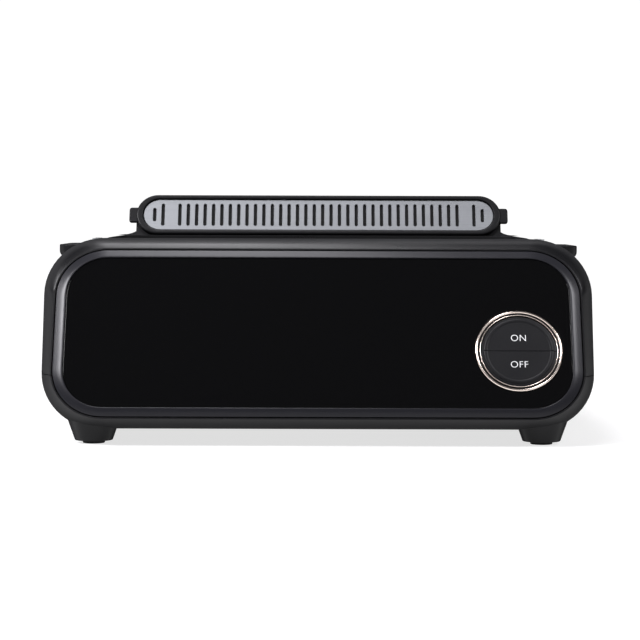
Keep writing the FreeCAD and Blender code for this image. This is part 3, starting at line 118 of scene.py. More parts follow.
class KeySizes(bpy.types.PropertyGroup):
    side: length("Side", 142.5, "Keys, from the middle to the right")
    drop: length("Drop", 14, "Keys, down the slope from the panel's middle")
    radius: length("Radius", 26.6, "Outer radius of the keys")
    face: length("Face", 22.4, "Radius of the dished face")
    bead: length("Bead", 2.3, "Width of the raised bead round the face")
    dish: length("Dish", 0.4, "Depth of the face inside its bead")
    proud: length("Proud", 1.4, "Key faces in front of the rim")
    step: length("Step", 0.8, "Height of the raised face over its border")
    split: length("Split", 0.4, "Gap between the two keys")
    ring_inner: length("Ring bore", 27.2, "Inner radius of the trim ring")
    ring_outer: length("Ring", 30.9, "Outer radius of the trim ring")
    ring_lip: length("Ring lip", 0.55, "Width of the trim ring's inner ridge")
    ring_groove: length("Ring groove", 1.35, "Width of the groove in the trim ring")
    ring_proud: length("Ring proud", 1.6, "Trim ring in front of the rim")
    letters: length("Letters", 5.0, "Height of the printed capitals")


class HoodSizes(bpy.types.PropertyGroup):
    foot: length("Foot", 100, "Hood face where it meets the deck, behind the middle")
    back: length("Back", 164, "Rear of the hood, behind the middle")
    lift: length("Lift", 15.5, "Middle of the vent above the deck")
    half: length("Half width", 150.3, "Half the width of the hood and the vent frame")
    rise: length("Half height", 18, "Half the height of the vent frame along its slope")
    edge: length("Rear edge", 10, "Radius of the hood's rear edge")
    wall: length("Wall", 2.4, "Thickness of the hood")
    plate_half: length("Plate half width", 144.7, "Half the width of the vent plate")
    plate_rise: length("Plate half height", 14.1, "Half the height of the vent plate")
    gap: length("Gap", 0.3, "Vent cover to hood face")
    cover: length("Cover", 4, "Thickness of the vent frame")
    flare: length("Flare", 16.5, "Flared foot at each side")
    flare_rise: length("Flare height", 5, "Height of the flared foot")
    slot_pitch: length("Slot pitch", 6.937, "Distance between vent slots")
    slot_width: length("Slot width", 2.5, "Width of a vent slot")
    slot_edge: length("Slot edge", 0.3, "Polished bevel round each slot")
    slot_long: length("Slot length", 19.8, "Length of a vent slot")
    slot_short: length("End slot length", 11.8, "Length of the outermost slots")
    slots: IntProperty(name="Slots", description="Slots in the main row", default=34)


class PanSizes(bpy.types.PropertyGroup):
    middle: length("Middle", -8, "Middle of the pan from the middle of the cooker")
    half_x: length("Half length", 163.5, "Half the length of the deck opening")
    half_y: length("Half width", 94, "Half the width of the deck opening")
    corner: length("Corner", 31, "Corner radius of the deck opening")
    clear: length("Clearance", 1, "Pan rim to deck opening")
    seat: length("Seat", 139.7, "Underside of the pan rim above the table")
    rim: length("Rim", 2.5, "Thickness of the pan rim")
    flange: length("Flange", 8.5, "Pan wall inside the rim's edge")
    wall: length("Wall", 3, "Thickness of the pan")
    draft: length("Draft", 7, "How much narrower the pan is at its floor")
    floor: length("Floor", 97, "Underside of the pan above the table")
    notch: length("Notch", 49, "Half the length of a handle's notch in the deck")
    notch_gap: length("Notch gap", 1.2, "Handles above the floor of their notches")
    grip_round: length("Grip underside edge", 4.5, "Radius along the underside of the handles")
    grip_edge: length("Grip upper edge", 0.9, "Radius along the top of the handles")


class FootSizes(bpy.types.PropertyGroup):
    radius: length("Radius", 13.7, "Radius of a foot at its lower end")
    spread: FloatProperty(name="Spread", description="How fast the feet widen upwards", default=0.34)
    tall: length("Height", 18, "Height of a foot's cone before it is trimmed to the casing")
    pad: length("Pad", 7.9, "Radius of the rubber pads")
    show: length("Pad shows", 2.1, "Pad below the foot")


class CookerColours(bpy.types.PropertyGroup):
    casing: tint("Casing", "#111113", "Moulded casing and hood")
    bezel: tint("Bezel", "#222226", "Satin frame round the glass")
    glass: tint("Glass", "#070708", "Black print behind the glass")
    ring: tint("Ring", "#F4E6DC", "Rose gold trim ring")
    keys: tint("Keys", "#0F0F12", "Round split keys")
    letters: tint("Letters", "#F2F3F5", "Printed capitals")
    plate: tint("Vent plate", "#7F8184", "Brushed vent plate")
    pan: tint("Pan", "#2A2A2C", "Non-stick coating")
    rubber: tint("Rubber", "#1B1B1B", "Foot pads")
    floor: tint("Floor", "#A0A0A0", "Floor and backdrop")


# Modelling

CORNER_STEPS = 14
TURNED_STEPS = 96
REAR_STEPS = 7
SMOOTH_ANGLE = radians(38)


def sizes(name):
    return getattr(bpy.context.scene, "cooker_" + name)


def quarter(steps):
    """The angles of a quarter turn."""
    return [step / steps * pi / 2 for step in range(steps + 1)]


def assign(item, **settings):
    for key, value in settings.items():
        setattr(item, key, value)


def clear_selection():
    bpy.ops.object.select_all(action="DESELECT")


def only(piece):
    """Select one piece alone and make it active."""
    clear_selection()
    bpy.context.view_layer.objects.active = piece
    piece.select_set(True)


def begin(name):
    """A new empty piece, open in edit mode."""
    clear_selection()
    bpy.ops.mesh.primitive_plane_add(size=1)
    piece = bpy.context.object
    piece.name = piece.data.name = name
    bpy.ops.object.mode_set(mode="EDIT")
    bpy.ops.mesh.delete(type="VERT")


def leave():
    """Face every wall outwards, leave edit mode and return the piece."""
    bpy.ops.mesh.select_all(action="SELECT")
    bpy.ops.mesh.normals_make_consistent(inside=False)
    bpy.ops.object.mode_set(mode="OBJECT")
    return bpy.context.object


def add_outline(half_x, half_y, radius, place, tilt=0.0):
    """In edit mode, add a rectangle with round corners, tilted up about X."""
    bpy.ops.mesh.select_all(action="DESELECT")
    bpy.ops.mesh.primitive_plane_add(size=2)
    bpy.ops.transform.resize(value=(half_x, half_y, 1), center_override=(0, 0, 0))
    bpy.ops.mesh.bevel(offset=radius, segments=CORNER_STEPS, affect="VERTICES")
    bpy.ops.mesh.remove_doubles(threshold=mm(0.05))
    bpy.ops.transform.rotate(value=-tilt, orient_axis="X", center_override=(0, 0, 0))
    bpy.ops.transform.translate(value=place)


def mark(number):
    """Number the selected points, so that their loop can be found again."""
    mesh = bmesh.from_edit_mesh(bpy.context.object.data)
    layer = mesh.verts.layers.int.get("loop") or mesh.verts.layers.int.new("loop")
    for point in mesh.verts:
        if point.select:
            point[layer] = number
    bmesh.update_edit_mesh(bpy.context.object.data)


def pick_loops(*numbers):
    mesh = bmesh.from_edit_mesh(bpy.context.object.data)
    layer = mesh.verts.layers.int["loop"]
    for point in mesh.verts:
        point.select = point[layer] in numbers
    mesh.select_flush_mode()
    bmesh.update_edit_mesh(bpy.context.object.data)


def fill_loop(number):
    pick_loops(number)
    bpy.ops.mesh.edge_face_add()


def bridge(first, second):
    pick_loops(first, second)
    bpy.ops.mesh.bridge_edge_loops()


def draw_outlines(outlines):
    """In edit mode, bridge a skin through outlines, whose loops are numbered from 1."""
    for number, outline in enumerate(outlines, start=1):
        add_outline(*outline)
        mark(number)
        bpy.ops.mesh.delete(type="ONLY_FACE")
    for number in range(1, len(outlines)):
        bridge(number, number + 1)


def draw_turned(profile, steps=TURNED_STEPS):
    """In edit mode, draw a circle through radii and heights, as on a lathe. Its loops are numbered from 1."""
    radius, height = profile[0]
    bpy.ops.mesh.primitive_circle_add(vertices=steps, radius=radius, fill_type="NOTHING",
                                      location=(0, 0, height))
    mark(1)
    for number, (wider, higher) in enumerate(profile[1:], start=2):
        bpy.ops.mesh.extrude_region_move(TRANSFORM_OT_translate={"value": (0, 0, higher - height)})
        bpy.ops.transform.resize(value=(wider / radius, wider / radius, 1), center_override=(0, 0, higher))
        mark(number)
        radius, height = wider, higher


def end_skin(last, closed):
    """Bridge the last loop to the first on a closed skin, or fill both, and leave edit mode."""
    if closed:
        bridge(1, last)
    else:
        fill_loop(1)
        fill_loop(last)
    return leave()


def loft(name, outlines, closed=False):
    begin(name)
    draw_outlines(outlines)
    return end_skin(len(outlines), closed)


def turned(name, profile, closed=False, steps=TURNED_STEPS):
    begin(name)
    draw_turned(profile, steps)
    return end_skin(len(profile), closed)


def stack(name, half_x, half_y, radius, profile, place=(0, 0, 0)):
    """Outlines one above the other, each drawn in by an inset at its height."""
    outlines = [(half_x - inset, half_y - inset, radius - inset, Vector(place) + Vector((0, 0, height)))
                for inset, height in profile]
    return loft(name, outlines)


def slab_profile(low, high, low_round=0.0, high_round=0.0, steps=5):
    """Insets and heights of a plate with rounded lower and upper edges."""
    turns = quarter(steps)
    lower = [(low_round * (1 - sin(turn)), low + low_round * (1 - cos(turn))) for turn in turns]
    upper = [(high_round * (1 - cos(turn)), high - high_round * (1 - sin(turn))) for turn in turns]
    return (lower if low_round else lower[:1]) + (upper if high_round else upper[-1:])


def block(name, low, high):
    low, high = Vector(low), Vector(high)
    clear_selection()
    bpy.ops.mesh.primitive_cube_add(size=1)
    bpy.context.object.name = name
    bpy.ops.object.mode_set(mode="EDIT")
    bpy.ops.transform.resize(value=high - low, center_override=(0, 0, 0))
    bpy.ops.transform.translate(value=(low + high) / 2)
    return leave()


def room(low, high):
    """A wide room between two heights."""
    return block("room", (-FAR, -FAR, low), (FAR, FAR, high))


def draw_back(level):
    """In edit mode, draw what is selected straight back to a level."""
    bpy.ops.mesh.extrude_region_move(TRANSFORM_OT_translate={"value": (0, FAR / 4, 0)})
    bpy.ops.transform.resize(value=(1, 0, 1), center_override=(0, level, 0))


def round_rear(loop, edge):
    """In edit mode, round the edge of the rear wall, step by step."""
    bpy.ops.mesh.select_all(action="SELECT")
    bpy.ops.mesh.normals_make_consistent(inside=False)
    pick_loops(loop)
    turns = quarter(REAR_STEPS)
    for before, after in zip(turns, turns[1:]):
        bpy.ops.mesh.inset(thickness=edge * (cos(before) - cos(after)),
                           depth=edge * (sin(after) - sin(before)))


def copied(piece, name, move=(0, 0, 0)):
    twin = piece.copy()
    twin.data = piece.data.copy()
    twin.name = name
    bpy.context.scene.collection.objects.link(twin)
    twin.data.transform(Matrix.Translation(move))
    return twin


def modify(piece, kind, **settings):
    """Add a modifier and apply it."""
    modifier = piece.modifiers.new(kind.lower(), kind)
    assign(modifier, **settings)
    only(piece)
    bpy.ops.object.modifier_apply(modifier=modifier.name)


def carve(piece, *cutters, operation="DIFFERENCE"):
    """Cut, join or keep what is common, then drop the cutters."""
    for cutter in cutters:
        modify(piece, "BOOLEAN", operation=operation, solver="EXACT", object=cutter)
        bpy.data.objects.remove(cutter)
    return piece


def joined(pieces):
    only(pieces[0])
    for piece in pieces:
        piece.select_set(True)
    bpy.ops.object.join()
    return pieces[0]


def soften(piece, width, angle=35):
    """Bevel the sharp edges."""
    modify(piece, "BEVEL", width=width, segments=2, limit_method="ANGLE", angle_limit=radians(angle),
           use_clamp_overlap=True)


def put(piece, place, tilt):
    """Tilt a piece about X and move it, into its mesh."""
    piece.rotation_euler = (tilt, 0, 0)
    piece.location = place
    only(piece)
    bpy.ops.object.transform_apply(location=True, rotation=True, scale=True)
    return piece


def dress(piece, body, slot, *nodes, other=None):
    """Smooth the piece, give it its slot's finish or an other, and let it ride in place of its nodes."""
    only(piece)
    bpy.ops.object.shade_smooth_by_angle(angle=SMOOTH_ANGLE)
    modify(piece, "WEIGHTED_NORMAL", keep_sharp=True)
    piece.data.materials.clear()
    piece.data.materials.append(finish(other or SLOTS[slot]))
    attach(piece, body)
    if nodes:
        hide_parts(*nodes)


# Leaning planes

def panel_middle():
    """Middle of the front rim."""
    casing = sizes("casing")
    top, low = DECK - casing.top_rise, BELLY + casing.bottom_rise
    return Vector((0, FRONT + (top - low) / 2 * tan(casing.lean), (top + low) / 2))


def vent_middle():
    hood = sizes("hood")
    return Vector((0, hood.foot + hood.lift * tan(sizes("casing").lean), DECK + hood.lift))


def key_middle():
    keys = sizes("keys")
    return sloped(panel_middle(), -keys.drop, 0) + Vector((keys.side, 0, 0))


def sloped(middle, up, out):
    """A place on a leaning plane: up its slope and out of it."""
    lean = sizes("casing").lean
    return middle + Vector((0, up * sin(lean) - out * cos(lean), up * cos(lean) + out * sin(lean)))


def upright():
    return pi / 2 - sizes("casing").lean


# Casing

NOSE_CURVE = 1.45
NOSE_STEPS = (0, 0.03, 0.08, 0.14, 0.22, 0.32, 0.44, 0.57, 0.7, 0.85, 1)
HOLLOW_FROM = 5  # the step of the nose where the hollow behind it starts
NOTCH_LAP = mm(1)  # how far the notches reach into the deck opening
LEDGE_DROP = mm(1.2)  # ledge below the pan's rim
LEDGE_WIDE = mm(3.6)
LEDGE_THICK = mm(2.5)
THROUGH = mm(10)  # how far a cutter reaches past a wall
DEEP = mm(20)  # and how far down from the deck


def roll(step):
    """Share of the roll that is left at a step, on an arc that ends flush with the trunk."""
    flush = NOSE_CURVE - sqrt(NOSE_CURVE ** 2 - (1 - step) ** 2)
    return flush / (NOSE_CURVE - sqrt(NOSE_CURVE ** 2 - 1))


def rim_half():
    casing = sizes("casing")
    return (DECK - casing.top_rise - BELLY - casing.bottom_rise) / 2 / cos(casing.lean)


def nose_outline(step, wall):
    """The casing's outline at a step of its nose: 0 at the front rim, 1 where the trunk starts."""
    casing = sizes("casing")
    left, middle = roll(step), panel_middle()
    reach = rim_half() * sin(casing.lean)
    top = Vector((0, middle.y + reach + casing.top_roll * step, DECK - casing.top_rise * left - wall))
    low = Vector((0, middle.y - reach + casing.bottom_roll * step, BELLY + casing.bottom_rise * left + wall))
    slope = top - low
    return (HALF_WIDTH - casing.side_rise * left - wall, slope.length / 2,
            casing.corner - casing.corner_drop * left - wall, (top + low) / 2, atan2(slope.z, slope.y))


def casing_form(name, wall=0.0, first=0):
    """The casing as a closed form, its skin moved inwards by a wall."""
    outlines = [nose_outline(step, wall) for step in NOSE_STEPS[first:]]
    last, edge = len(outlines), sizes("casing").rear_round - wall
    begin(name)
    draw_outlines(outlines)
    fill_loop(1)
    pick_loops(last)
    draw_back(REAR - wall - edge)
    mark(last + 1)
    bpy.ops.mesh.edge_face_add()
    round_rear(last + 1, edge)
    return leave()


def rim_outline(inset, out):
    """The front rim drawn in by an inset, straight in front of or behind the panel's plane."""
    casing = sizes("casing")
    return (HALF_WIDTH - casing.side_rise - casing.rim - inset, rim_half() - casing.rim - inset,
            casing.corner - casing.corner_drop - casing.rim - inset,
            sloped(panel_middle(), -out * tan(casing.lean), out), upright())


def notches(wall, top):
    """A block for the notch of each handle, a wall larger all round."""
    pan = sizes("pan")
    inner = pan.half_x - NOTCH_LAP
    return [block("notch", (low, pan.middle - pan.notch - wall, GRIP_LOW.z - pan.notch_gap - wall),
                  (high, pan.middle + pan.notch + wall, top)) for low, high in ((-FAR, -inner), (inner, FAR))]


def rear_opening(node, gap_x, gap_z):
    """A block through the rear wall, round a node's box."""
    low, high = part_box(node)
    return block("rear_opening", (low.x - gap_x, REAR - THROUGH, low.z - gap_z),
                 (high.x + gap_x, REAR + THROUGH, high.z + gap_z))


def casing_shell(name):
    """The hollow casing with its front opening, solid round the pan and its notches."""
    casing, pan = sizes("casing"), sizes("pan")
    hollow = casing_form("hollow", casing.wall, HOLLOW_FROM)
    collar = stack("collar", pan.half_x + casing.wall, pan.half_y + casing.wall, pan.corner + casing.wall,
                   [(0, pan.seat - LEDGE_DROP - LEDGE_THICK), (0, DECK + casing.wall)], (0, pan.middle, 0))
    carve(hollow, collar, *notches(casing.wall, DECK + casing.wall))
    shell = carve(casing_form(name), hollow)
    return carve(shell, loft("front_opening", [rim_outline(0, mm(3)), rim_outline(0, mm(-16))]))


class OBJECT_OT_cooker_upper_casing(bpy.types.Operator):
    """Upper casing: rolled nose, deck with the pan's opening and the handle notches, rear outlet"""
    bl_idname = "object.cooker_upper_casing"
    bl_label = "Upper casing"

    def execute(self, context):
        pan, hood = sizes("pan"), sizes("hood")
        shell = casing_shell("upper_shell")
        place = (0, pan.middle, 0)
        ledge = pan.seat - LEDGE_DROP
        pan_hole = stack("pan_hole", pan.half_x, pan.half_y, pan.corner, [(0, ledge), (0, ledge + 3 * DEEP)],
                         place)
        well = stack("well", pan.half_x - LEDGE_WIDE, pan.half_y - LEDGE_WIDE, pan.corner - mm(4),
                     [(0, ledge - DEEP), (0, ledge + DEEP)], place)
        handles = notches(0, DECK + DEEP)
        outlet = rear_opening("outlet_grille", mm(0.3), mm(0.3))
        house_low, house_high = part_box("fan_housing")
        duct = block("duct", (house_low.x + mm(2), hood.foot + mm(12), DECK - THROUGH),
                     (house_high.x - mm(2), hood.back - mm(6), DECK + THROUGH))
        carve(shell, pan_hole, well, *handles, outlet, duct)
        carve(shell, room(UPPER_LOW.z, DECK * 2), operation="INTERSECT")
        soften(shell, sizes("casing").edge)
        dress(shell, "base", "casing_black", "upper_casing")
        return {"FINISHED"}


class OBJECT_OT_cooker_lower_casing(bpy.types.Operator):
    """Lower casing with louvres, screw wells and the power inlet's opening"""
    bl_idname = "object.cooker_lower_casing"
    bl_label = "Lower casing"
    LOUVRES = 9
    LOUVRE_PITCH = mm(11)
    LOUVRE_SIDE = mm(60)
    LOUVRE_HALF = mm(1.6), mm(30)
    WELL_RADIUS = mm(3.3)
    WELL_INSET = mm(3)  # from the box round all the screws

    def execute(self, context):
        louvre = stack("louvre", *self.LOUVRE_HALF, mm(1.59), [(0, 0), (0, DEEP)])
        steps = [place - (self.LOUVRES - 1) / 2 for place in range(self.LOUVRES)]
        louvres = [copied(louvre, "louvre", (self.LOUVRE_SIDE + self.LOUVRE_PITCH * step,
                                             sizes("pan").middle, 0)) for step in steps]
        bpy.data.objects.remove(louvre)
        low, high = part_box("casing_screws")
        well = turned("well", [(self.WELL_RADIUS, 0), (self.WELL_RADIUS, low.z + mm(2))], steps=32)
        wells = [copied(well, "well", (x, y, 0)) for x in (low.x + self.WELL_INSET, high.x - self.WELL_INSET)
                 for y in (low.y + self.WELL_INSET, high.y - self.WELL_INSET)]
        bpy.data.objects.remove(well)
        shell = casing_shell("lower_shell")
        carve(shell, joined(louvres), rear_opening("power_inlet", mm(-4), mm(-1.5)), joined(wells))
        carve(shell, room(-DECK, LOWER_HIGH.z), operation="INTERSECT")
        soften(shell, sizes("casing").edge)
        dress(shell, "base", "casing_black", "lower_casing")
        return {"FINISHED"}


class OBJECT_OT_cooker_feet(bpy.types.Operator):
    """Four conical feet with rubber pads"""
    bl_idname = "object.cooker_feet"
    bl_label = "Feet"
    EDGE = mm(0.8)

    def execute(self, context):
        foot, edge = sizes("feet"), self.EDGE
        cone = turned("cone", [(foot.radius - edge, foot.show),
                               (foot.radius - edge * 0.3, foot.show + edge * 0.3),
                               (foot.radius, foot.show + edge),
                               (foot.radius + foot.spread * foot.tall, foot.show + foot.tall)])
        pad = turned("pad", [(foot.pad - mm(0.5), 0), (foot.pad - mm(0.15), mm(0.15)), (foot.pad, mm(0.5)),
                             (foot.pad, foot.show + mm(1))], steps=64)
        for corner in ("front_left", "front_right", "rear_left", "rear_right"):
            low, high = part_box(f"foot_pad_{corner}")
            middle = (low + high) / 2
            move = (middle.x, middle.y, 0)
            leg = carve(copied(cone, f"foot_cone_{corner}", move), casing_form("trim"))
            dress(leg, "base", "foot_black", f"foot_{corner}")
            dress(copied(pad, f"rubber_pad_{corner}", move), "base", "pad_rubber", f"foot_pad_{corner}")
        bpy.data.objects.remove(cone)
        bpy.data.objects.remove(pad)
        return {"FINISHED"}


# Front panel

def bezel_outline(share, out):
    """An outline of the bezel: share 0 at its outer edge, 1 at the glass."""
    casing, panel = sizes("casing"), sizes("panel")
    half_x, half_s, corner, _, tilt = rim_outline(panel.groove, 0)
    up = -out * tan(casing.lean) * (1 - share)
    return (half_x - panel.bezel_side * share, half_s - panel.bezel_top * share,
            corner + (panel.glass_round - corner) * share, sloped(panel_middle(), up, out), tilt)


def glass_back():
    """Level of the back of the glass, where bezel, glass and ring all end."""
    return sizes("panel").glass_proud - sizes("panel").glass_thick


class OBJECT_OT_cooker_bezel(bpy.types.Operator):
    """Satin bezel that slopes up from the groove to the glass"""
    bl_idname = "object.cooker_bezel"
    bl_label = "Bezel"
    FOOT_AT, CROWN_AT = 0.11, 0.93
    FOOT_TURNS = (0, 0.35, 0.7, 1.05)
    FOOT_LEVEL, FOOT_ROUND = mm(0.15), mm(0.7)
    SLOPE_STEPS = 7
    SLOPE_CURVE = 1.3

    def execute(self, context):
        panel = sizes("panel")
        foot, crown = self.FOOT_LEVEL, panel.bezel_crown
        outlines = [bezel_outline(0, glass_back())]
        for turn in self.FOOT_TURNS:
            outlines.append(bezel_outline(self.FOOT_AT * (1 - cos(turn)),
                                          foot - self.FOOT_ROUND * (1 - sin(turn))))
        for step in range(1, self.SLOPE_STEPS + 1):
            share = step / self.SLOPE_STEPS
            outlines.append(bezel_outline(self.FOOT_AT + (self.CROWN_AT - self.FOOT_AT) * share,
                                          foot + (crown - foot) * (1 - (1 - share) ** self.SLOPE_CURVE)))
        inner_edge = ((0.965, crown - mm(0.08)), (0.99, crown - mm(0.3)), (1, panel.glass_proud - mm(0.1)),
                      (1, glass_back() - mm(0.01)))
        outlines += [bezel_outline(share, out) for share, out in inner_edge]
        bezel = loft("bezel_frame", outlines, closed=True)
        dress(bezel, "base", "bezel_satin", "front_bezel")
        return {"FINISHED"}


class OBJECT_OT_cooker_glass(bpy.types.Operator):
    """Front glass with polished edges and the bore for the trim ring"""
    bl_idname = "object.cooker_glass"
    bl_label = "Glass"

    def execute(self, context):
        panel, keys = sizes("panel"), sizes("keys")
        half_x, half_s, _, _, _ = bezel_outline(1, 0)
        pane = stack("glass_pane", half_x - panel.glass_gap, half_s - panel.glass_gap,
                     panel.glass_round - panel.glass_gap,
                     slab_profile(glass_back(), panel.glass_proud, 0, mm(0.4), 4))
        reach = keys.ring_outer + panel.glass_gap
        bore = turned("bore", [(reach, glass_back() * 2), (reach, panel.glass_proud - mm(0.3)),
                               (reach + mm(0.5), panel.glass_proud + mm(0.2))])
        carve(pane, put(bore, (keys.side, -keys.drop, 0), 0))
        put(pane, panel_middle(), upright())
        dress(pane, "base", "glass_black", "front_glass")
        return {"FINISHED"}


class OBJECT_OT_cooker_ring(bpy.types.Operator):
    """Rose gold trim ring: two rounded ridges with a groove between them, whose faces are painted near black
    as shade
    """
    bl_idname = "object.cooker_ring"
    bl_label = "Trim ring"
    GROOVE_LEVEL = mm(0.5)
    RIDGE_STEPS = 6
    NEAR = mm(0.1)  # faces this near the groove's walls get the painted shade too
    RIDGE_DEPTH = mm(0.45)

    def ridge(self, low, high):
        half, top = (high - low) / 2, sizes("keys").ring_proud
        turns = [pi * step / self.RIDGE_STEPS for step in range(self.RIDGE_STEPS + 1)]
        return [(low + half * (1 - cos(turn)), top - half * (1 - sin(turn))) for turn in turns]

    def execute(self, context):
        keys = sizes("keys")
        inner = keys.ring_inner + keys.ring_lip
        outer = inner + keys.ring_groove
        ring = turned("trim_ring", [(keys.ring_inner, glass_back()), *self.ridge(keys.ring_inner, inner),
                                    (inner, self.GROOVE_LEVEL), (outer, self.GROOVE_LEVEL),
                                    *self.ridge(outer, keys.ring_outer),
                                    (keys.ring_outer, glass_back() - mm(0.01))], closed=True, steps=128)
        groove = [face.index for face in ring.data.polygons
                  if inner - self.NEAR < face.center.xy.length < outer + self.NEAR
                  and face.center.z < keys.ring_proud - self.RIDGE_DEPTH]
        put(ring, key_middle(), upright())
        dress(ring, "base", "ring_rose", "key_trim_ring")
        # the groove's faces get a near-black brown finish: painted shade in the groove
        ring.data.materials.append(finish("brown_lacquer"))
        for number in groove:
            ring.data.polygons[number].material_index = 1
        return {"FINISHED"}


TEXT_SIZE = 1.42  # over the height of its capitals


def half_disc(disc, name, side):
    """The part of a disc above or below the split between the keys."""
    half = copied(disc, name)
    only(half)
    bpy.ops.object.mode_set(mode="EDIT")
    bpy.ops.mesh.select_all(action="SELECT")
    bpy.ops.mesh.bisect(plane_co=(0, side * sizes("keys").split / 2, 0), plane_no=(0, side, 0), use_fill=True,
                        clear_inner=True)
    return leave()


def printed_word(name, word):
    """A word as a thin mesh."""
    clear_selection()
    bpy.ops.object.text_add()
    bpy.context.object.name = name
    assign(bpy.context.object.data, body=word, align_x="CENTER", align_y="CENTER",
           size=sizes("keys").letters * TEXT_SIZE, space_character=1.06, extrude=mm(0.02), offset=mm(-0.1),
           resolution_u=6)
    bpy.ops.object.convert(target="MESH")
    bpy.ops.object.mode_set(mode="EDIT")
    bpy.ops.mesh.select_all(action="SELECT")
    bpy.ops.mesh.remove_doubles(threshold=mm(0.002))
    return leave()


class OBJECT_OT_cooker_keys(bpy.types.Operator):
    """Two half-moon keys with a stepped border, and their printed capitals"""
    bl_idname = "object.cooker_keys"
    bl_label = "Keys"
    KEYS = (("upper", 1, "ON", mm(9.7)), ("lower", -1, "OFF", mm(-10.6)))
    DEEP = mm(-5)
    SOFT = mm(0.12)
    PRINT = mm(0.03)  # ink above the face

    def execute(self, context):
        keys = sizes("keys")
        top, border, dish = keys.proud, keys.proud - keys.step, keys.proud - keys.dish
        face, bead = keys.face, keys.face + keys.bead
        disc = turned("key_disc", [
            (keys.radius, self.DEEP), (keys.radius, border - mm(0.4)),
            (keys.radius - mm(0.1), border - mm(0.18)), (keys.radius - mm(0.75), border),
            (bead + mm(0.1), border), (bead, border + mm(0.08)),
            (bead - mm(0.1), top - mm(0.22)), (bead - mm(0.2), top - mm(0.15)), (bead - mm(0.75), top),
            (face + mm(0.55), top), (face, top - mm(0.15)), (face - mm(0.1), top - mm(0.22)),
            (face - mm(0.15), dish + mm(0.06)), (face - mm(0.3), dish)])
        for which, side, word, rise in self.KEYS:
            key = half_disc(disc, f"{which}_key_cap", side)
            soften(key, self.SOFT, 60)
            put(key, key_middle(), upright())
            dress(key, f"{which}_key", "key_black", f"{which}_key")
            text = printed_word(f"{which}_key_word", word)
            put(text, key_middle() + sloped(Vector(), rise, dish + self.PRINT), upright())
            dress(text, f"{which}_key", "key_black", other="printed_ink")
        bpy.data.objects.remove(disc)
        return {"FINISHED"}


# Exhaust hood

HOOD_REACH = mm(45)  # how far the hood's form goes down its slope, into the casing
PLATE_LIFT = mm(1.2)  # vent plate above the back of its frame


def hood_form(name, wall):
    """The hood drawn straight back from its leaning face, its skin moved inwards by a wall."""
    hood = sizes("hood")
    low, high = -HOOD_REACH, hood.rise - wall
    up = (low + high) / 2 + wall * tan(sizes("casing").lean)
    edge = hood.edge - wall
    begin(name)
    add_outline(hood.half - wall, (high - low) / 2, hood.rise - wall, sloped(vent_middle(), up, -wall),
                upright())
    mark(1)
    draw_back(hood.back - wall - edge)
    mark(2)
    fill_loop(1)
    round_rear(2, edge)
    return leave()


class OBJECT_OT_cooker_hood(bpy.types.Operator):
    """Exhaust hood on its flared foot, hollow behind the vent"""
    bl_idname = "object.cooker_hood"
    bl_label = "Exhaust hood"
    TUCK = mm(0.4)
    FLARE_DEEP = mm(9)
    FLARE_ROUND = mm(11), mm(5)
    SHOULDER = mm(1.6)  # of the hood's mouth inside the plate's edge

    def execute(self, context):
        hood = sizes("hood")
        shell = hood_form("hood_shell", 0)
        half_x, half_y = hood.half - self.TUCK, (hood.back - hood.foot) / 2 - self.TUCK
        least, more = self.FLARE_ROUND
        outlines = []
        for turn in quarter(8):
            share = 1 - sin(turn)
            place = Vector((0, (hood.foot + hood.back) / 2, DECK + hood.flare_rise * (1 - cos(turn))))
            outlines.append((half_x + hood.flare * share, half_y + self.FLARE_DEEP * share,
                             least + more * share, place))
        outlines.insert(0, (*outlines[0][:3], outlines[0][3] - Vector((0, 0, mm(3)))))
        flare = loft("flare", outlines)
        ahead = loft("ahead", [(FAR, hood.rise * 6, mm(1), sloped(vent_middle(), 0, out), upright())
                               for out in (0, FAR / 4)])
        carve(flare, ahead)
        carve(shell, flare, operation="UNION")
        half_x, half_s = hood.plate_half - self.SHOULDER, hood.plate_rise - self.SHOULDER
        mouth = loft("mouth", [(half_x, half_s, half_s - mm(0.1), sloped(vent_middle(), 0, out), upright())
                               for out in (mm(12), mm(-12))])
        carve(shell, hood_form("inside", hood.wall), mouth, room(-DECK, DECK + mm(0.02)))
        soften(shell, mm(0.4))
        dress(shell, "base", "hood_black", "exhaust_hood")
        return {"FINISHED"}


def stadium(half_x, half_s, profile):
    """Outlines with round ends on the vent's slope, from insets and levels."""
    return [(half_x - inset, half_s - inset, half_s - inset - mm(0.01), sloped(vent_middle(), 0, out),
             upright()) for inset, out in profile]


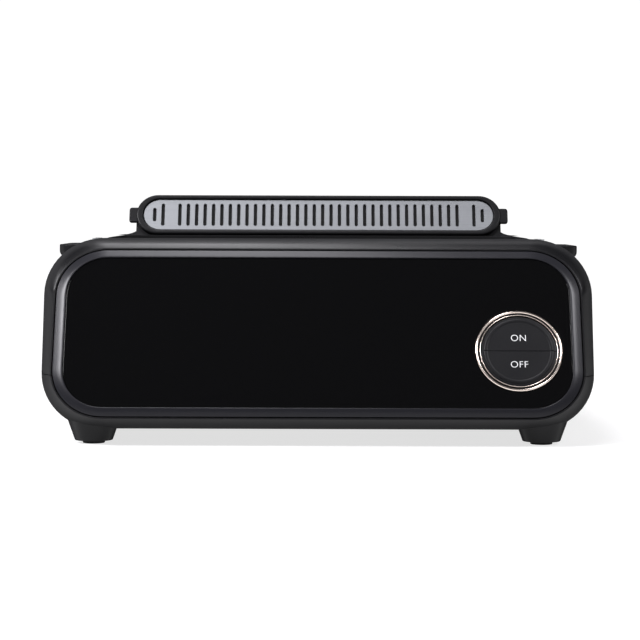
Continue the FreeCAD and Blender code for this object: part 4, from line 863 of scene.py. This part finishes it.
class OBJECT_OT_cooker_vent_frame(bpy.types.Operator):
    """Vent frame with a finger tab at each end"""
    bl_idname = "object.cooker_vent_frame"
    bl_label = "Vent frame"
    CLEAR = mm(0.15)
    LIP = mm(1.8)
    TAB_HALF, TAB_ROUND, TAB_THICK = mm(6.6), mm(2.2), mm(2.7)
    TAB_LAP = mm(4)

    def execute(self, context):
        hood = sizes("hood")
        low, top = hood.gap, hood.gap + hood.cover
        outer = stadium(hood.half, hood.rise, [(0, low)] + slab_profile(low, top, 0, mm(1.5))[1:])
        inner = stadium(hood.plate_half + self.CLEAR, hood.plate_rise + self.CLEAR,
                        [(mm(-0.8), top - mm(0.02)), (mm(-0.3), top - mm(0.2)), (0, top - mm(0.7)),
                         (0, low + PLATE_LIFT)])
        lip = stadium(hood.plate_half, hood.plate_rise,
                      [(self.LIP, low + PLATE_LIFT - mm(0.02)), (self.LIP, low + mm(0.02))])
        piece = loft("vent_surround", outer + inner + lip, closed=True)
        start, end = hood.half - self.TAB_LAP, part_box("vent_frame")[1].x
        for side in (-1, 1):
            tab = stack("tab", (end - start) / 2, self.TAB_HALF, self.TAB_ROUND,
                        slab_profile(low, low + self.TAB_THICK, mm(0.3), mm(0.6), 3))
            put(tab, vent_middle() + Vector((side * (start + end) / 2, 0, 0)), upright())
            carve(piece, tab, operation="UNION")
        carve(piece, room(-DECK, DECK + low))
        dress(piece, "vent_cover", "frame_black", "vent_frame")
        return {"FINISHED"}


class OBJECT_OT_cooker_vent_plate(bpy.types.Operator):
    """Brushed vent plate with its rows of slots"""
    bl_idname = "object.cooker_vent_plate"
    bl_label = "Vent plate"
    THICK = mm(1.4)
    EDGE = mm(0.7)
    END_GAP = 3, 5  # pitches more than the row's, from end slot to end slot

    def execute(self, context):
        hood = sizes("hood")
        low = hood.gap + PLATE_LIFT
        top = low + self.THICK
        plate = stack("slotted_plate", hood.plate_half, hood.plate_rise, hood.plate_rise - mm(0.01),
                      slab_profile(low, top, 0, self.EDGE, 1))
        places = [(place - (hood.slots - 1) / 2, hood.slot_long) for place in range(hood.slots)]
        for side in (-1, 1):
            for extra, long in zip(self.END_GAP, (hood.slot_long, hood.slot_short)):
                places.append((side * (hood.slots + extra) / 2, long))
        half, flare = hood.slot_width / 2, hood.slot_edge
        cutters = [stack("slot", half, long / 2, half - mm(0.01),
                         [(0, low - mm(1)), (0, top - flare), (-flare, top), (-flare, top + mm(1))],
                         (place * hood.slot_pitch, 0, 0)) for place, long in places]
        carve(plate, joined(cutters))
        put(plate, vent_middle(), upright())
        dress(plate, "vent_cover", "vent_silver", "vent_plate")
        return {"FINISHED"}


# Pan and handles

FLOOR_BEND, INNER_BEND, RIM_BEND = mm(5), mm(3.5), mm(2.5)


def pan_profile():
    """The pan's skin as (outward, height) from its wall line: floor, wall, rim and back down inside."""
    pan = sizes("pan")
    turns = quarter(5)

    def drafted(height):
        return -pan.draft * (pan.seat - height) / (pan.seat - pan.floor)
    top, lip = pan.seat + pan.rim, pan.rim / 2
    inner_floor = pan.floor + pan.wall + mm(1)
    reach = pan.flange - lip
    skin = [(drafted(pan.floor) - FLOOR_BEND * (1 - sin(turn)),
             pan.floor + FLOOR_BEND * (1 - cos(turn))) for turn in turns]
    skin += [(0, pan.seat - mm(1)), (mm(1), pan.seat)]
    skin += [(reach + lip * sin(turn * 2), pan.seat + lip * (1 - cos(turn * 2))) for turn in turns]
    skin += [(-pan.wall + RIM_BEND * (1 - sin(turn)), top - RIM_BEND * (1 - cos(turn)))
             for turn in turns]
    skin += [(drafted(inner_floor) - pan.wall - INNER_BEND * (1 - cos(turn)),
              inner_floor + INNER_BEND * (1 - sin(turn))) for turn in turns]
    return skin


class OBJECT_OT_cooker_pan(bpy.types.Operator):
    """Lift-out pan with a rolled rim and an ear at each side for its handle"""
    bl_idname = "object.cooker_pan"
    bl_label = "Pan"
    EAR_FROM, EAR_TO = mm(-8), mm(15)  # from the edge of the deck opening
    EAR_HALF = mm(20)

    def execute(self, context):
        pan = sizes("pan")
        wall_x, wall_y, corner = [size - pan.clear - pan.flange
                                  for size in (pan.half_x, pan.half_y, pan.corner)]
        outlines = []
        for outward, height in pan_profile():
            rounder = outward / 2 if outward < 0 else outward
            outlines.append((wall_x + outward, wall_y + outward, corner + rounder,
                             Vector((0, pan.middle, height))))
        body = loft("pan_body", outlines)
        low, high = pan.half_x + self.EAR_FROM, pan.half_x + self.EAR_TO
        for side in (-1, 1):
            ear = stack("ear", (high - low) / 2, self.EAR_HALF, mm(3),
                        slab_profile(GRIP_HIGH.z + mm(0.02), pan.seat + pan.rim - mm(0.05), 0, mm(0.5), 3),
                        (side * (low + high) / 2, pan.middle, 0))
            carve(body, ear, operation="UNION")
        dress(body, "pan", "pan_coating", "cooking_pan")
        return {"FINISHED"}


class OBJECT_OT_cooker_handles(bpy.types.Operator):
    """Thin pan handles that reach over the shoulders of the casing"""
    bl_idname = "object.cooker_handles"
    bl_label = "Pan handles"
    CORNER = mm(12)

    def execute(self, context):
        pan = sizes("pan")
        half, middle = (GRIP_HIGH - GRIP_LOW) / 2, (GRIP_HIGH + GRIP_LOW) / 2
        for which, side in (("left", -1), ("right", 1)):
            grip = stack(f"grip_{which}", half.x, half.y, self.CORNER,
                         slab_profile(GRIP_LOW.z, GRIP_HIGH.z, pan.grip_round, pan.grip_edge),
                         (side * middle.x, middle.y, 0))
            dress(grip, "pan", "handle_black", f"pan_handle_{which}")
        return {"FINISHED"}


# Finishes

HAZE = 0.68
MADE = {}


def colour(key):
    """A hex colour, or one of the cooker's colours by its name."""
    return srgb(key) if key.startswith("#") else getattr(sizes("colours"), key)


def wire(item, links):
    for socket, source in links.items():
        item.id_data.links.new(source, item.inputs[socket])


def add(tree, kind, settings=None, links=None):
    """Add a shader node with its settings, and link outputs into it."""
    item = tree.nodes.new("ShaderNode" + kind)
    for key, value in (settings or {}).items():
        if isinstance(key, str) and hasattr(item, key):
            setattr(item, key, value)
        else:
            item.inputs[key].default_value = value
    wire(item, links or {})
    return item


def span(low, high, start=0.3, stop=0.7):
    """Map Range settings that turn a pattern's spread into low to high."""
    return {"From Min": start, "From Max": stop, "To Min": low, "To Max": high}


def start_finish(name, settings):
    """A new material: its tree, its shader with some of its own sockets set, and the piece's coordinates."""
    material = bpy.data.materials.new(name)
    material.use_nodes = True
    tree = material.node_tree
    shader = tree.nodes["Principled BSDF"]
    for key, value in settings.items():
        shader.inputs[key].default_value = value
    return material, tree, shader, add(tree, "TexCoord").outputs["Object"]


def per_metre(size_mm):
    """Pattern scale for features of a size in millimetres."""
    return 1000 / size_mm


def grained(tree, shader, place, grain_mm, depth_mm, rough, spread, haze=0.0):
    """A fine random grain in bump and roughness, over faint clouds. The haze dulls the gloss of edges that
    are seen at a grazing angle."""
    grain = add(tree, "TexNoise", {"Scale": per_metre(grain_mm), "Detail": 3.0, "Roughness": 0.6},
                {"Vector": place}).outputs["Fac"]
    cloud = add(tree, "TexNoise", {"Scale": per_metre(38), "Detail": 2.0}, {"Vector": place})
    bump = add(tree, "Bump", {"Strength": 1.0, "Distance": mm(depth_mm)}, {"Height": grain})
    half = add(tree, "Math", {"operation": "MULTIPLY", 1: 0.5}, {0: cloud.outputs["Fac"]})
    mixed = add(tree, "Math", {"operation": "MULTIPLY_ADD", 1: 0.5}, {0: grain, 2: half.outputs["Value"]})
    gloss = add(tree, "MapRange", span(rough - spread, rough + spread),
                {"Value": mixed.outputs["Value"]}).outputs["Result"]
    if haze:
        facing = add(tree, "LayerWeight", {"Blend": 0.5}).outputs["Facing"]
        dull = add(tree, "MapRange", span(0, haze, 0.42, 0.8), {"Value": facing})
        gloss = add(tree, "Math", {"operation": "ADD", "use_clamp": True},
                    {0: gloss, 1: dull.outputs["Result"]}).outputs["Value"]
    wire(shader, {"Normal": bump.outputs["Normal"], "Roughness": gloss})
    return grain


def toned(tree, source, base, lift):
    """A colour that a pattern makes a little darker and a little lighter."""
    ramp = add(tree, "ValToRGB", {}, {"Fac": source})
    for stop, share, spot in zip(ramp.color_ramp.elements, (1 - lift, 1 + lift), (0.35, 0.65)):
        stop.position = spot
        stop.color = (*[min(1, part * share) for part in base], 1)
    return ramp.outputs["Color"]


# Moulded plastics: colour, size and depth of the grain in mm, roughness and its spread, specular level
PLASTICS = {
    # Moulded ABS, spark eroded: an even satin black with a fine grain, drawn coarser than life to show
    "abs_spark_eroded": ("casing", 0.8, 0.012, 0.3, 0.04, 0.24),
    # The same ABS from a slightly duller tool
    "abs_hood": ("casing", 0.8, 0.015, 0.36, 0.05, 0.16),
    # Moulded ABS with a coarser tool texture
    "abs_foot": ("casing", 1.1, 0.03, 0.45, 0.06, 0.24),
    # Moulded phenolic resin, hard and satin, with a faint flow pattern
    "phenolic_grip": ("casing", 1.4, 0.02, 0.34, 0.06, 0.12),
    # Moulded polycarbonate with a very fine satin texture
    "polycarbonate_key": ("keys", 0.6, 0.008, 0.4, 0.04, 0.25),
    # Moulded rubber, matt and slightly dusty
    "moulded_rubber": ("rubber", 0.9, 0.04, 0.78, 0.08, 0.3),
    # Pad-printed ink, slightly uneven where it lies on the grain
    "printed_ink": ("letters", 0.5, 0.004, 0.5, 0.05, 0.3),
    # Dark brown, nearly black paint in the groove of the trim ring, painted shade for the groove: satin
    "brown_lacquer": ("#120D0B", 0.6, 0.004, 0.4, 0.05, 0.3),
    # Moulded glass-filled nylon of the parts inside: dull dark grey
    "moulded_nylon": ("#3B3B3E", 1.2, 0.03, 0.5, 0.07, 0.24),
    # Moulded epoxy of the components: smooth and nearly black
    "moulded_epoxy": ("#232326", 1.0, 0.02, 0.32, 0.07, 0.24),
    # Moulded polycarbonate of the display module: smooth grey
    "moulded_display": ("#4A4A4E", 1.0, 0.02, 0.35, 0.06, 0.24),
}

# Bare metals: colour, roughness, size and depth of the grain in mm, how far it is drawn out along X
METALS = {
    # Pressed aluminised steel: pale and satin with a faint spangle
    "aluminised_steel": ("#C6C7C8", 0.34, 5, 0.01, 1.0),
    # Rolled steel sheath of the heater, tinted dark by heat
    "heat_tinted_steel": ("#5F5A55", 0.45, 1.5, 0.02, 1.0),
    # Zinc plated steel of the screws: bright and slightly blue
    "zinc_plated_steel": ("#B9BBBE", 0.3, 0.8, 0.006, 1.0),
    # Drawn spring steel: long fine die lines
    "spring_steel": ("#9FA1A4", 0.28, 0.8, 0.004, 12),
    # Spun aluminium: pale, with fine rings from the tool
    "spun_aluminium": ("#C9CACC", 0.3, 1.2, 0.006, 3),
    # Deep drawn steel of the motor can: smooth with faint draw marks
    "drawn_steel": ("#A3A5A8", 0.33, 2.2, 0.008, 4),
    # Sintered bronze of the bush: porous and oily
    "sintered_bronze": ("#A9814F", 0.42, 0.7, 0.03, 1.0),
    # Nickel plated brass of the pins: bright and slightly warm
    "nickel_plated_brass": ("#CFC9BD", 0.2, 0.9, 0.003, 1.0),
}


def moulded(name, key, grain_mm, depth_mm, rough, spread, level):
    """Moulded plastic with a fine texture from its tool."""
    material, tree, shader, place = start_finish(name, {"IOR": 1.5, "Specular IOR Level": level})
    grain = grained(tree, shader, place, grain_mm, depth_mm, rough, spread, HAZE)
    wire(shader, {"Base Color": toned(tree, grain, colour(key), 0.12)})
    return material


def worked_metal(name, key, rough, grain_mm, depth_mm, stretch):
    """Bare metal with the marks of how it was made."""
    material, tree, shader, place = start_finish(name, {"Metallic": 1.0})
    drawn = add(tree, "Mapping", {"Scale": (1 / stretch, 1, 1)}, {"Vector": place})
    grain = grained(tree, shader, drawn.outputs["Vector"], grain_mm, depth_mm, rough, 0.07)
    wire(shader, {"Base Color": toned(tree, grain, colour(key), 0.12)})
    return material


def satin_bezel():
    """Satin metallic paint over a moulded frame: fine flakes that glint in a soft sheen."""
    material, tree, shader, place = start_finish("satin_metallic_paint", {"Metallic": 0.04, "IOR": 1.5,
                                                                          "Specular IOR Level": 0.2})
    grain = grained(tree, shader, place, 0.5, 0.004, 0.25, 0.03)
    wire(shader, {"Base Color": toned(tree, grain, colour("bezel"), 0.1)})
    return material


def black_glass():
    """Toughened soda-lime glass printed black behind: deep gloss with a hint of waviness from the furnace."""
    material, tree, shader, place = start_finish("black_printed_glass", {
        "Base Color": (*colour("glass"), 1), "IOR": 1.52, "Specular IOR Level": 0.3})
    waves = add(tree, "TexNoise", {"Scale": per_metre(70), "Detail": 1.0}, {"Vector": place}).outputs["Fac"]
    bump = add(tree, "Bump", {"Strength": 1.0, "Distance": mm(0.02)}, {"Height": waves})
    smears = add(tree, "MapRange", span(0.03, 0.06), {"Value": waves})
    wire(shader, {"Normal": bump.outputs["Normal"], "Roughness": smears.outputs["Result"]})
    return material


def rose_gold():
    """Turned aluminium, rose gold anodised: bright ridges with fine turning lines."""
    material, tree, shader, place = start_finish("rose_gold_anodised", {"Metallic": 1.0})
    grain = grained(tree, shader, place, 0.6, 0.0008, 0.2, 0.03)
    wire(shader, {"Base Color": toned(tree, grain, colour("ring"), 0.05)})
    return material


def brushed_plate():
    """Stainless steel brushed lengthwise: long fine hairs that soften the sheen across."""
    material, tree, shader, place = start_finish("stainless_brushed", {"Metallic": 1.0})
    along = add(tree, "Mapping", {"Scale": (per_metre(60), per_metre(0.5), per_metre(0.5))},
                {"Vector": place})
    hairs = add(tree, "TexNoise", {"Scale": 1.0, "Detail": 4.0, "Roughness": 0.7},
                {"Vector": along.outputs["Vector"]}).outputs["Fac"]
    bump = add(tree, "Bump", {"Strength": 0.6, "Distance": mm(0.01)}, {"Height": hairs})
    rough = add(tree, "MapRange", span(0.4, 0.58), {"Value": hairs})
    wire(shader, {"Normal": bump.outputs["Normal"], "Roughness": rough.outputs["Result"],
                  "Base Color": toned(tree, hairs, colour("plate"), 0.08)})
    return material


def nonstick_coating():
    """Sprayed non-stick coating on cast aluminium: satin with a sprinkle of fine pale specks."""
    material, tree, shader, place = start_finish("nonstick_sprayed", {})
    grain = grained(tree, shader, place, 1.2, 0.02, 0.42, 0.06)
    specks = add(tree, "TexVoronoi", {"Scale": per_metre(1.6), "Randomness": 1.0}, {"Vector": place})
    share = add(tree, "MapRange", span(1, 0, 0.1, 0.16), {"Value": specks.outputs["Distance"]})
    sparse = add(tree, "Math", {"operation": "GREATER_THAN", 1: 0.62}, {0: specks.outputs["Color"]})
    masked = add(tree, "Math", {"operation": "MULTIPLY"},
                 {0: share.outputs["Result"], 1: sparse.outputs["Value"]})
    mix = add(tree, "Mix", {"data_type": "RGBA", 7: (*srgb("#6E6E70"), 1)},
              {0: masked.outputs["Value"], 6: toned(tree, grain, colour("pan"), 0.1)})
    wire(shader, {"Base Color": mix.outputs[2]})
    return material


def woven_mesh():
    """Woven aluminium mesh, coloured near black as painted shade behind the vent slots: wires over and under,
    dark between them, drawn coarse enough to show.
    """
    material, tree, shader, place = start_finish("woven_mesh", {"Specular IOR Level": 0.2, "Roughness": 0.6})
    wires = [add(tree, "TexWave", {"wave_type": "BANDS", "bands_direction": axis,
                                   "Scale": per_metre(1.6) / (2 * pi) * 3.14},
                 {"Vector": place}).outputs["Fac"] for axis in "XZ"]
    woven = add(tree, "Math", {"operation": "MULTIPLY"}, dict(enumerate(wires))).outputs["Value"]
    bump = add(tree, "Bump", {"Strength": 1.0, "Distance": mm(0.3)}, {"Height": woven})
    # near-black colours: painted shade seen through the vent slots, not the metal's own colour
    ramp = add(tree, "ValToRGB", {}, {"Fac": woven})
    for stop, code, spot in zip(ramp.color_ramp.elements, ("#030304", "#141415"), (0.25, 0.8)):
        stop.position = spot
        stop.color = (*srgb(code), 1)
    wire(shader, {"Normal": bump.outputs["Normal"], "Base Color": ramp.outputs["Color"]})
    return material


def circuit_board():
    """Glass-epoxy board under green solder mask, with the faint grid of its tracks."""
    material, tree, shader, place = start_finish("solder_mask", {})
    brick = add(tree, "TexBrick", {"Scale": per_metre(9), "Mortar Size": 0.03,
                                   "Color1": (*srgb("#0F4A2A"), 1), "Color2": (*srgb("#125631"), 1),
                                   "Mortar": (*srgb("#2C7A4A"), 1)}, {"Vector": place})
    wire(shader, {"Base Color": brick.outputs["Color"]})
    grained(tree, shader, place, 1.5, 0.01, 0.3, 0.06)
    return material


SLOTS = {
    "casing_black": "abs_spark_eroded", "hood_black": "abs_hood", "frame_black": "abs_hood",
    "handle_black": "phenolic_grip", "foot_black": "abs_foot", "pad_rubber": "moulded_rubber",
    "key_black": "polycarbonate_key", "bezel_satin": satin_bezel, "glass_black": black_glass,
    "ring_rose": rose_gold, "vent_silver": brushed_plate, "pan_coating": nonstick_coating,
    "screw_steel": "zinc_plated_steel", "shield_steel": "aluminised_steel",
    "heater_steel": "heat_tinted_steel", "board_green": circuit_board, "inner_plastic": "moulded_nylon",
    "component_dark": "moulded_epoxy",
    "display_grey": "moulded_display", "sensor_alloy": "spun_aluminium", "spring_steel": "spring_steel",
    "filter_mesh": woven_mesh, "rotor_alloy": "spun_aluminium", "bush_bronze": "sintered_bronze",
    "motor_steel": "drawn_steel", "pin_nickel": "nickel_plated_brass",
}


def finish(kind):
    """A finish from its table or function, made only the first time it is asked for."""
    if kind not in MADE:
        if kind in PLASTICS:
            MADE[kind] = moulded(kind, *PLASTICS[kind])
        elif kind in METALS:
            MADE[kind] = worked_metal(kind, *METALS[kind])
        else:
            MADE[kind] = kind()
    return MADE[kind]


class OBJECT_OT_cooker_inner_parts(bpy.types.Operator):
    """Finishes of the parts that keep their own shape"""
    bl_idname = "object.cooker_inner_parts"
    bl_label = "Inner parts"

    def execute(self, context):
        for row in frame["record"]["subparts"]:
            piece = frame["nodes"][row["node"]]
            piece.data.materials.clear()
            piece.data.materials.append(finish(SLOTS[row["material_slot"]]))
        return {"FINISHED"}


# Stage

class StageSizes(bpy.types.PropertyGroup):
    distance: length("Distance", 1754, "Camera in front of the middle of the cooker")
    height: length("Height", 166.2, "Camera above the table")
    aside: length("Aside", 1.2, "Camera to the right of the middle")
    pitch: FloatProperty(name="Pitch", description="Camera looks down by this", default=radians(2.80),
                         subtype="ANGLE")
    roll: FloatProperty(name="Roll", description="Camera leans to the left by this",
                        default=radians(0.18), subtype="ANGLE")
    lens: FloatProperty(name="Lens", description="Focal length", default=126.5, unit="CAMERA")
    floor_radius: length("Floor", 6500, "Radius of the round floor")
    floor_bend: length("Floor bend", 900, "Radius with which the floor turns up at its rim")


def soft_light(name, place, width, height, power):
    """A soft box that looks at the cooker."""
    clear_selection()
    bpy.ops.object.light_add(type="AREA", location=place)
    light = bpy.context.object
    light.name = name
    assign(light.data, shape="RECTANGLE", size=width, size_y=height, energy=power, color=srgb("#FCFBFF"))
    light.rotation_euler = (Vector((0, 0, 0.09)) - Vector(place)).to_track_quat("-Z", "Y").to_euler()


def floor_finish():
    """Matt white paper. It shows white from afar, and keeps the soft shadow near the cooker."""
    material, tree, shader, place = start_finish("matt_paper", {"Roughness": 0.9, "Specular IOR Level": 0.1,
                                                                "Emission Color": (1, 1, 1, 1)})
    cloud = add(tree, "TexNoise", {"Scale": per_metre(400), "Detail": 2.0}, {"Vector": place})
    rays = add(tree, "LightPath")
    seen = rays.outputs["Is Camera Ray"]
    for kind in ("Is Glossy Ray", "Is Transmission Ray"):
        seen = add(tree, "Math", {"operation": "ADD", "use_clamp": True},
                   {0: seen, 1: rays.outputs[kind]}).outputs["Value"]
    reach = add(tree, "VectorMath", {"operation": "LENGTH"}, {0: place})
    glow = add(tree, "MapRange", span(0.72, 1, 0.35, 1.6), {"Value": reach.outputs["Value"]})
    strength = add(tree, "Math", {"operation": "MULTIPLY"}, {0: seen, 1: glow.outputs["Result"]})
    wire(shader, {"Base Color": toned(tree, cloud.outputs["Fac"], colour("floor"), 0.01),
                  "Emission Strength": strength.outputs["Value"]})
    return material


class OBJECT_OT_cooker_stage(bpy.types.Operator):
    """Pale round floor that turns up at its rim, soft lights and the camera"""
    bl_idname = "object.cooker_stage"
    bl_label = "Stage"
    WORLD_STRENGTH = 0.08
    LIGHTS = (  # name, place, width and height in metres, power in watts
        ("left_light", (-1.0, -0.95, 1.35), 0.34, 0.46, 27),
        ("left_side_light", (-1.4, -0.32, 1.1), 0.5, 0.45, 15),
        ("right_light", (1.0, -0.95, 1.35), 0.26, 0.36, 11),
        ("right_side_light", (1.4, -0.32, 1.1), 0.3, 0.3, 3),
        ("top_light", (-0.15, -0.02, 1.75), 1.6, 0.4, 21),
        ("back_light", (0.3, 2.0, 1.6), 1.2, 0.6, 5),
    )

    def execute(self, context):
        stage = sizes("stage")
        flat, bend = stage.floor_radius, stage.floor_bend
        profile = [(flat + bend * sin(turn), bend * (1 - cos(turn))) for turn in quarter(8)]
        profile.append((flat + bend, bend * 1.6))
        begin("floor")
        draw_turned(profile)
        fill_loop(1)
        floor = leave()
        bpy.ops.object.shade_smooth()
        floor.data.materials.append(floor_finish())

        world = bpy.data.worlds.new("studio")
        context.scene.world = world
        world.use_nodes = True
        backing = world.node_tree.nodes["Background"]
        backing.inputs["Color"].default_value = (*srgb("#FFFFFF"), 1)
        backing.inputs["Strength"].default_value = self.WORLD_STRENGTH
        for light in self.LIGHTS:
            soft_light(*light)

        clear_selection()
        bpy.ops.object.camera_add(location=(stage.aside, -stage.distance, stage.height),
                                  rotation=(pi / 2 - stage.pitch, -stage.roll, 0))
        camera = context.object
        camera.name = "camera"
        assign(camera.data, lens=stage.lens, sensor_width=36, clip_end=50)
        context.scene.camera = camera
        context.scene.view_settings.view_transform = "Standard"
        return {"FINISHED"}


GROUPS = {
    "casing": CasingSizes, "panel": PanelSizes, "keys": KeySizes, "hood": HoodSizes, "pan": PanSizes,
    "feet": FootSizes, "colours": CookerColours, "stage": StageSizes,
}

STEPS = (
    OBJECT_OT_cooker_inner_parts, OBJECT_OT_cooker_upper_casing, OBJECT_OT_cooker_lower_casing,
    OBJECT_OT_cooker_feet, OBJECT_OT_cooker_bezel, OBJECT_OT_cooker_glass, OBJECT_OT_cooker_ring,
    OBJECT_OT_cooker_keys, OBJECT_OT_cooker_hood, OBJECT_OT_cooker_vent_frame, OBJECT_OT_cooker_vent_plate,
    OBJECT_OT_cooker_pan, OBJECT_OT_cooker_handles, OBJECT_OT_cooker_stage,
)


class VIEW3D_PT_cooker(bpy.types.Panel):
    """Builds the cooker piece by piece"""
    bl_label = "Cooker"
    bl_idname = "VIEW3D_PT_cooker"
    bl_space_type = "VIEW_3D"
    bl_region_type = "UI"
    bl_category = "Cooker"

    def draw(self, context):
        for name, group in GROUPS.items():
            column = self.layout.column(heading=name.capitalize())
            for key in group.__annotations__:
                column.prop(getattr(context.scene, "cooker_" + name), key)
        for step in STEPS:
            self.layout.operator(step.bl_idname)


def register():
    for kind in (*GROUPS.values(), *STEPS, VIEW3D_PT_cooker):
        bpy.utils.register_class(kind)
    for name, group in GROUPS.items():
        setattr(bpy.types.Scene, "cooker_" + name, PointerProperty(type=group))


def unregister():
    for name in GROUPS:
        delattr(bpy.types.Scene, "cooker_" + name)
    for kind in reversed((*GROUPS.values(), *STEPS, VIEW3D_PT_cooker)):
        bpy.utils.unregister_class(kind)


def main():
    register()
    for step in STEPS:
        group, name = step.bl_idname.split(".")
        getattr(getattr(bpy.ops, group), name)()


if __name__ == "__main__":
    main()
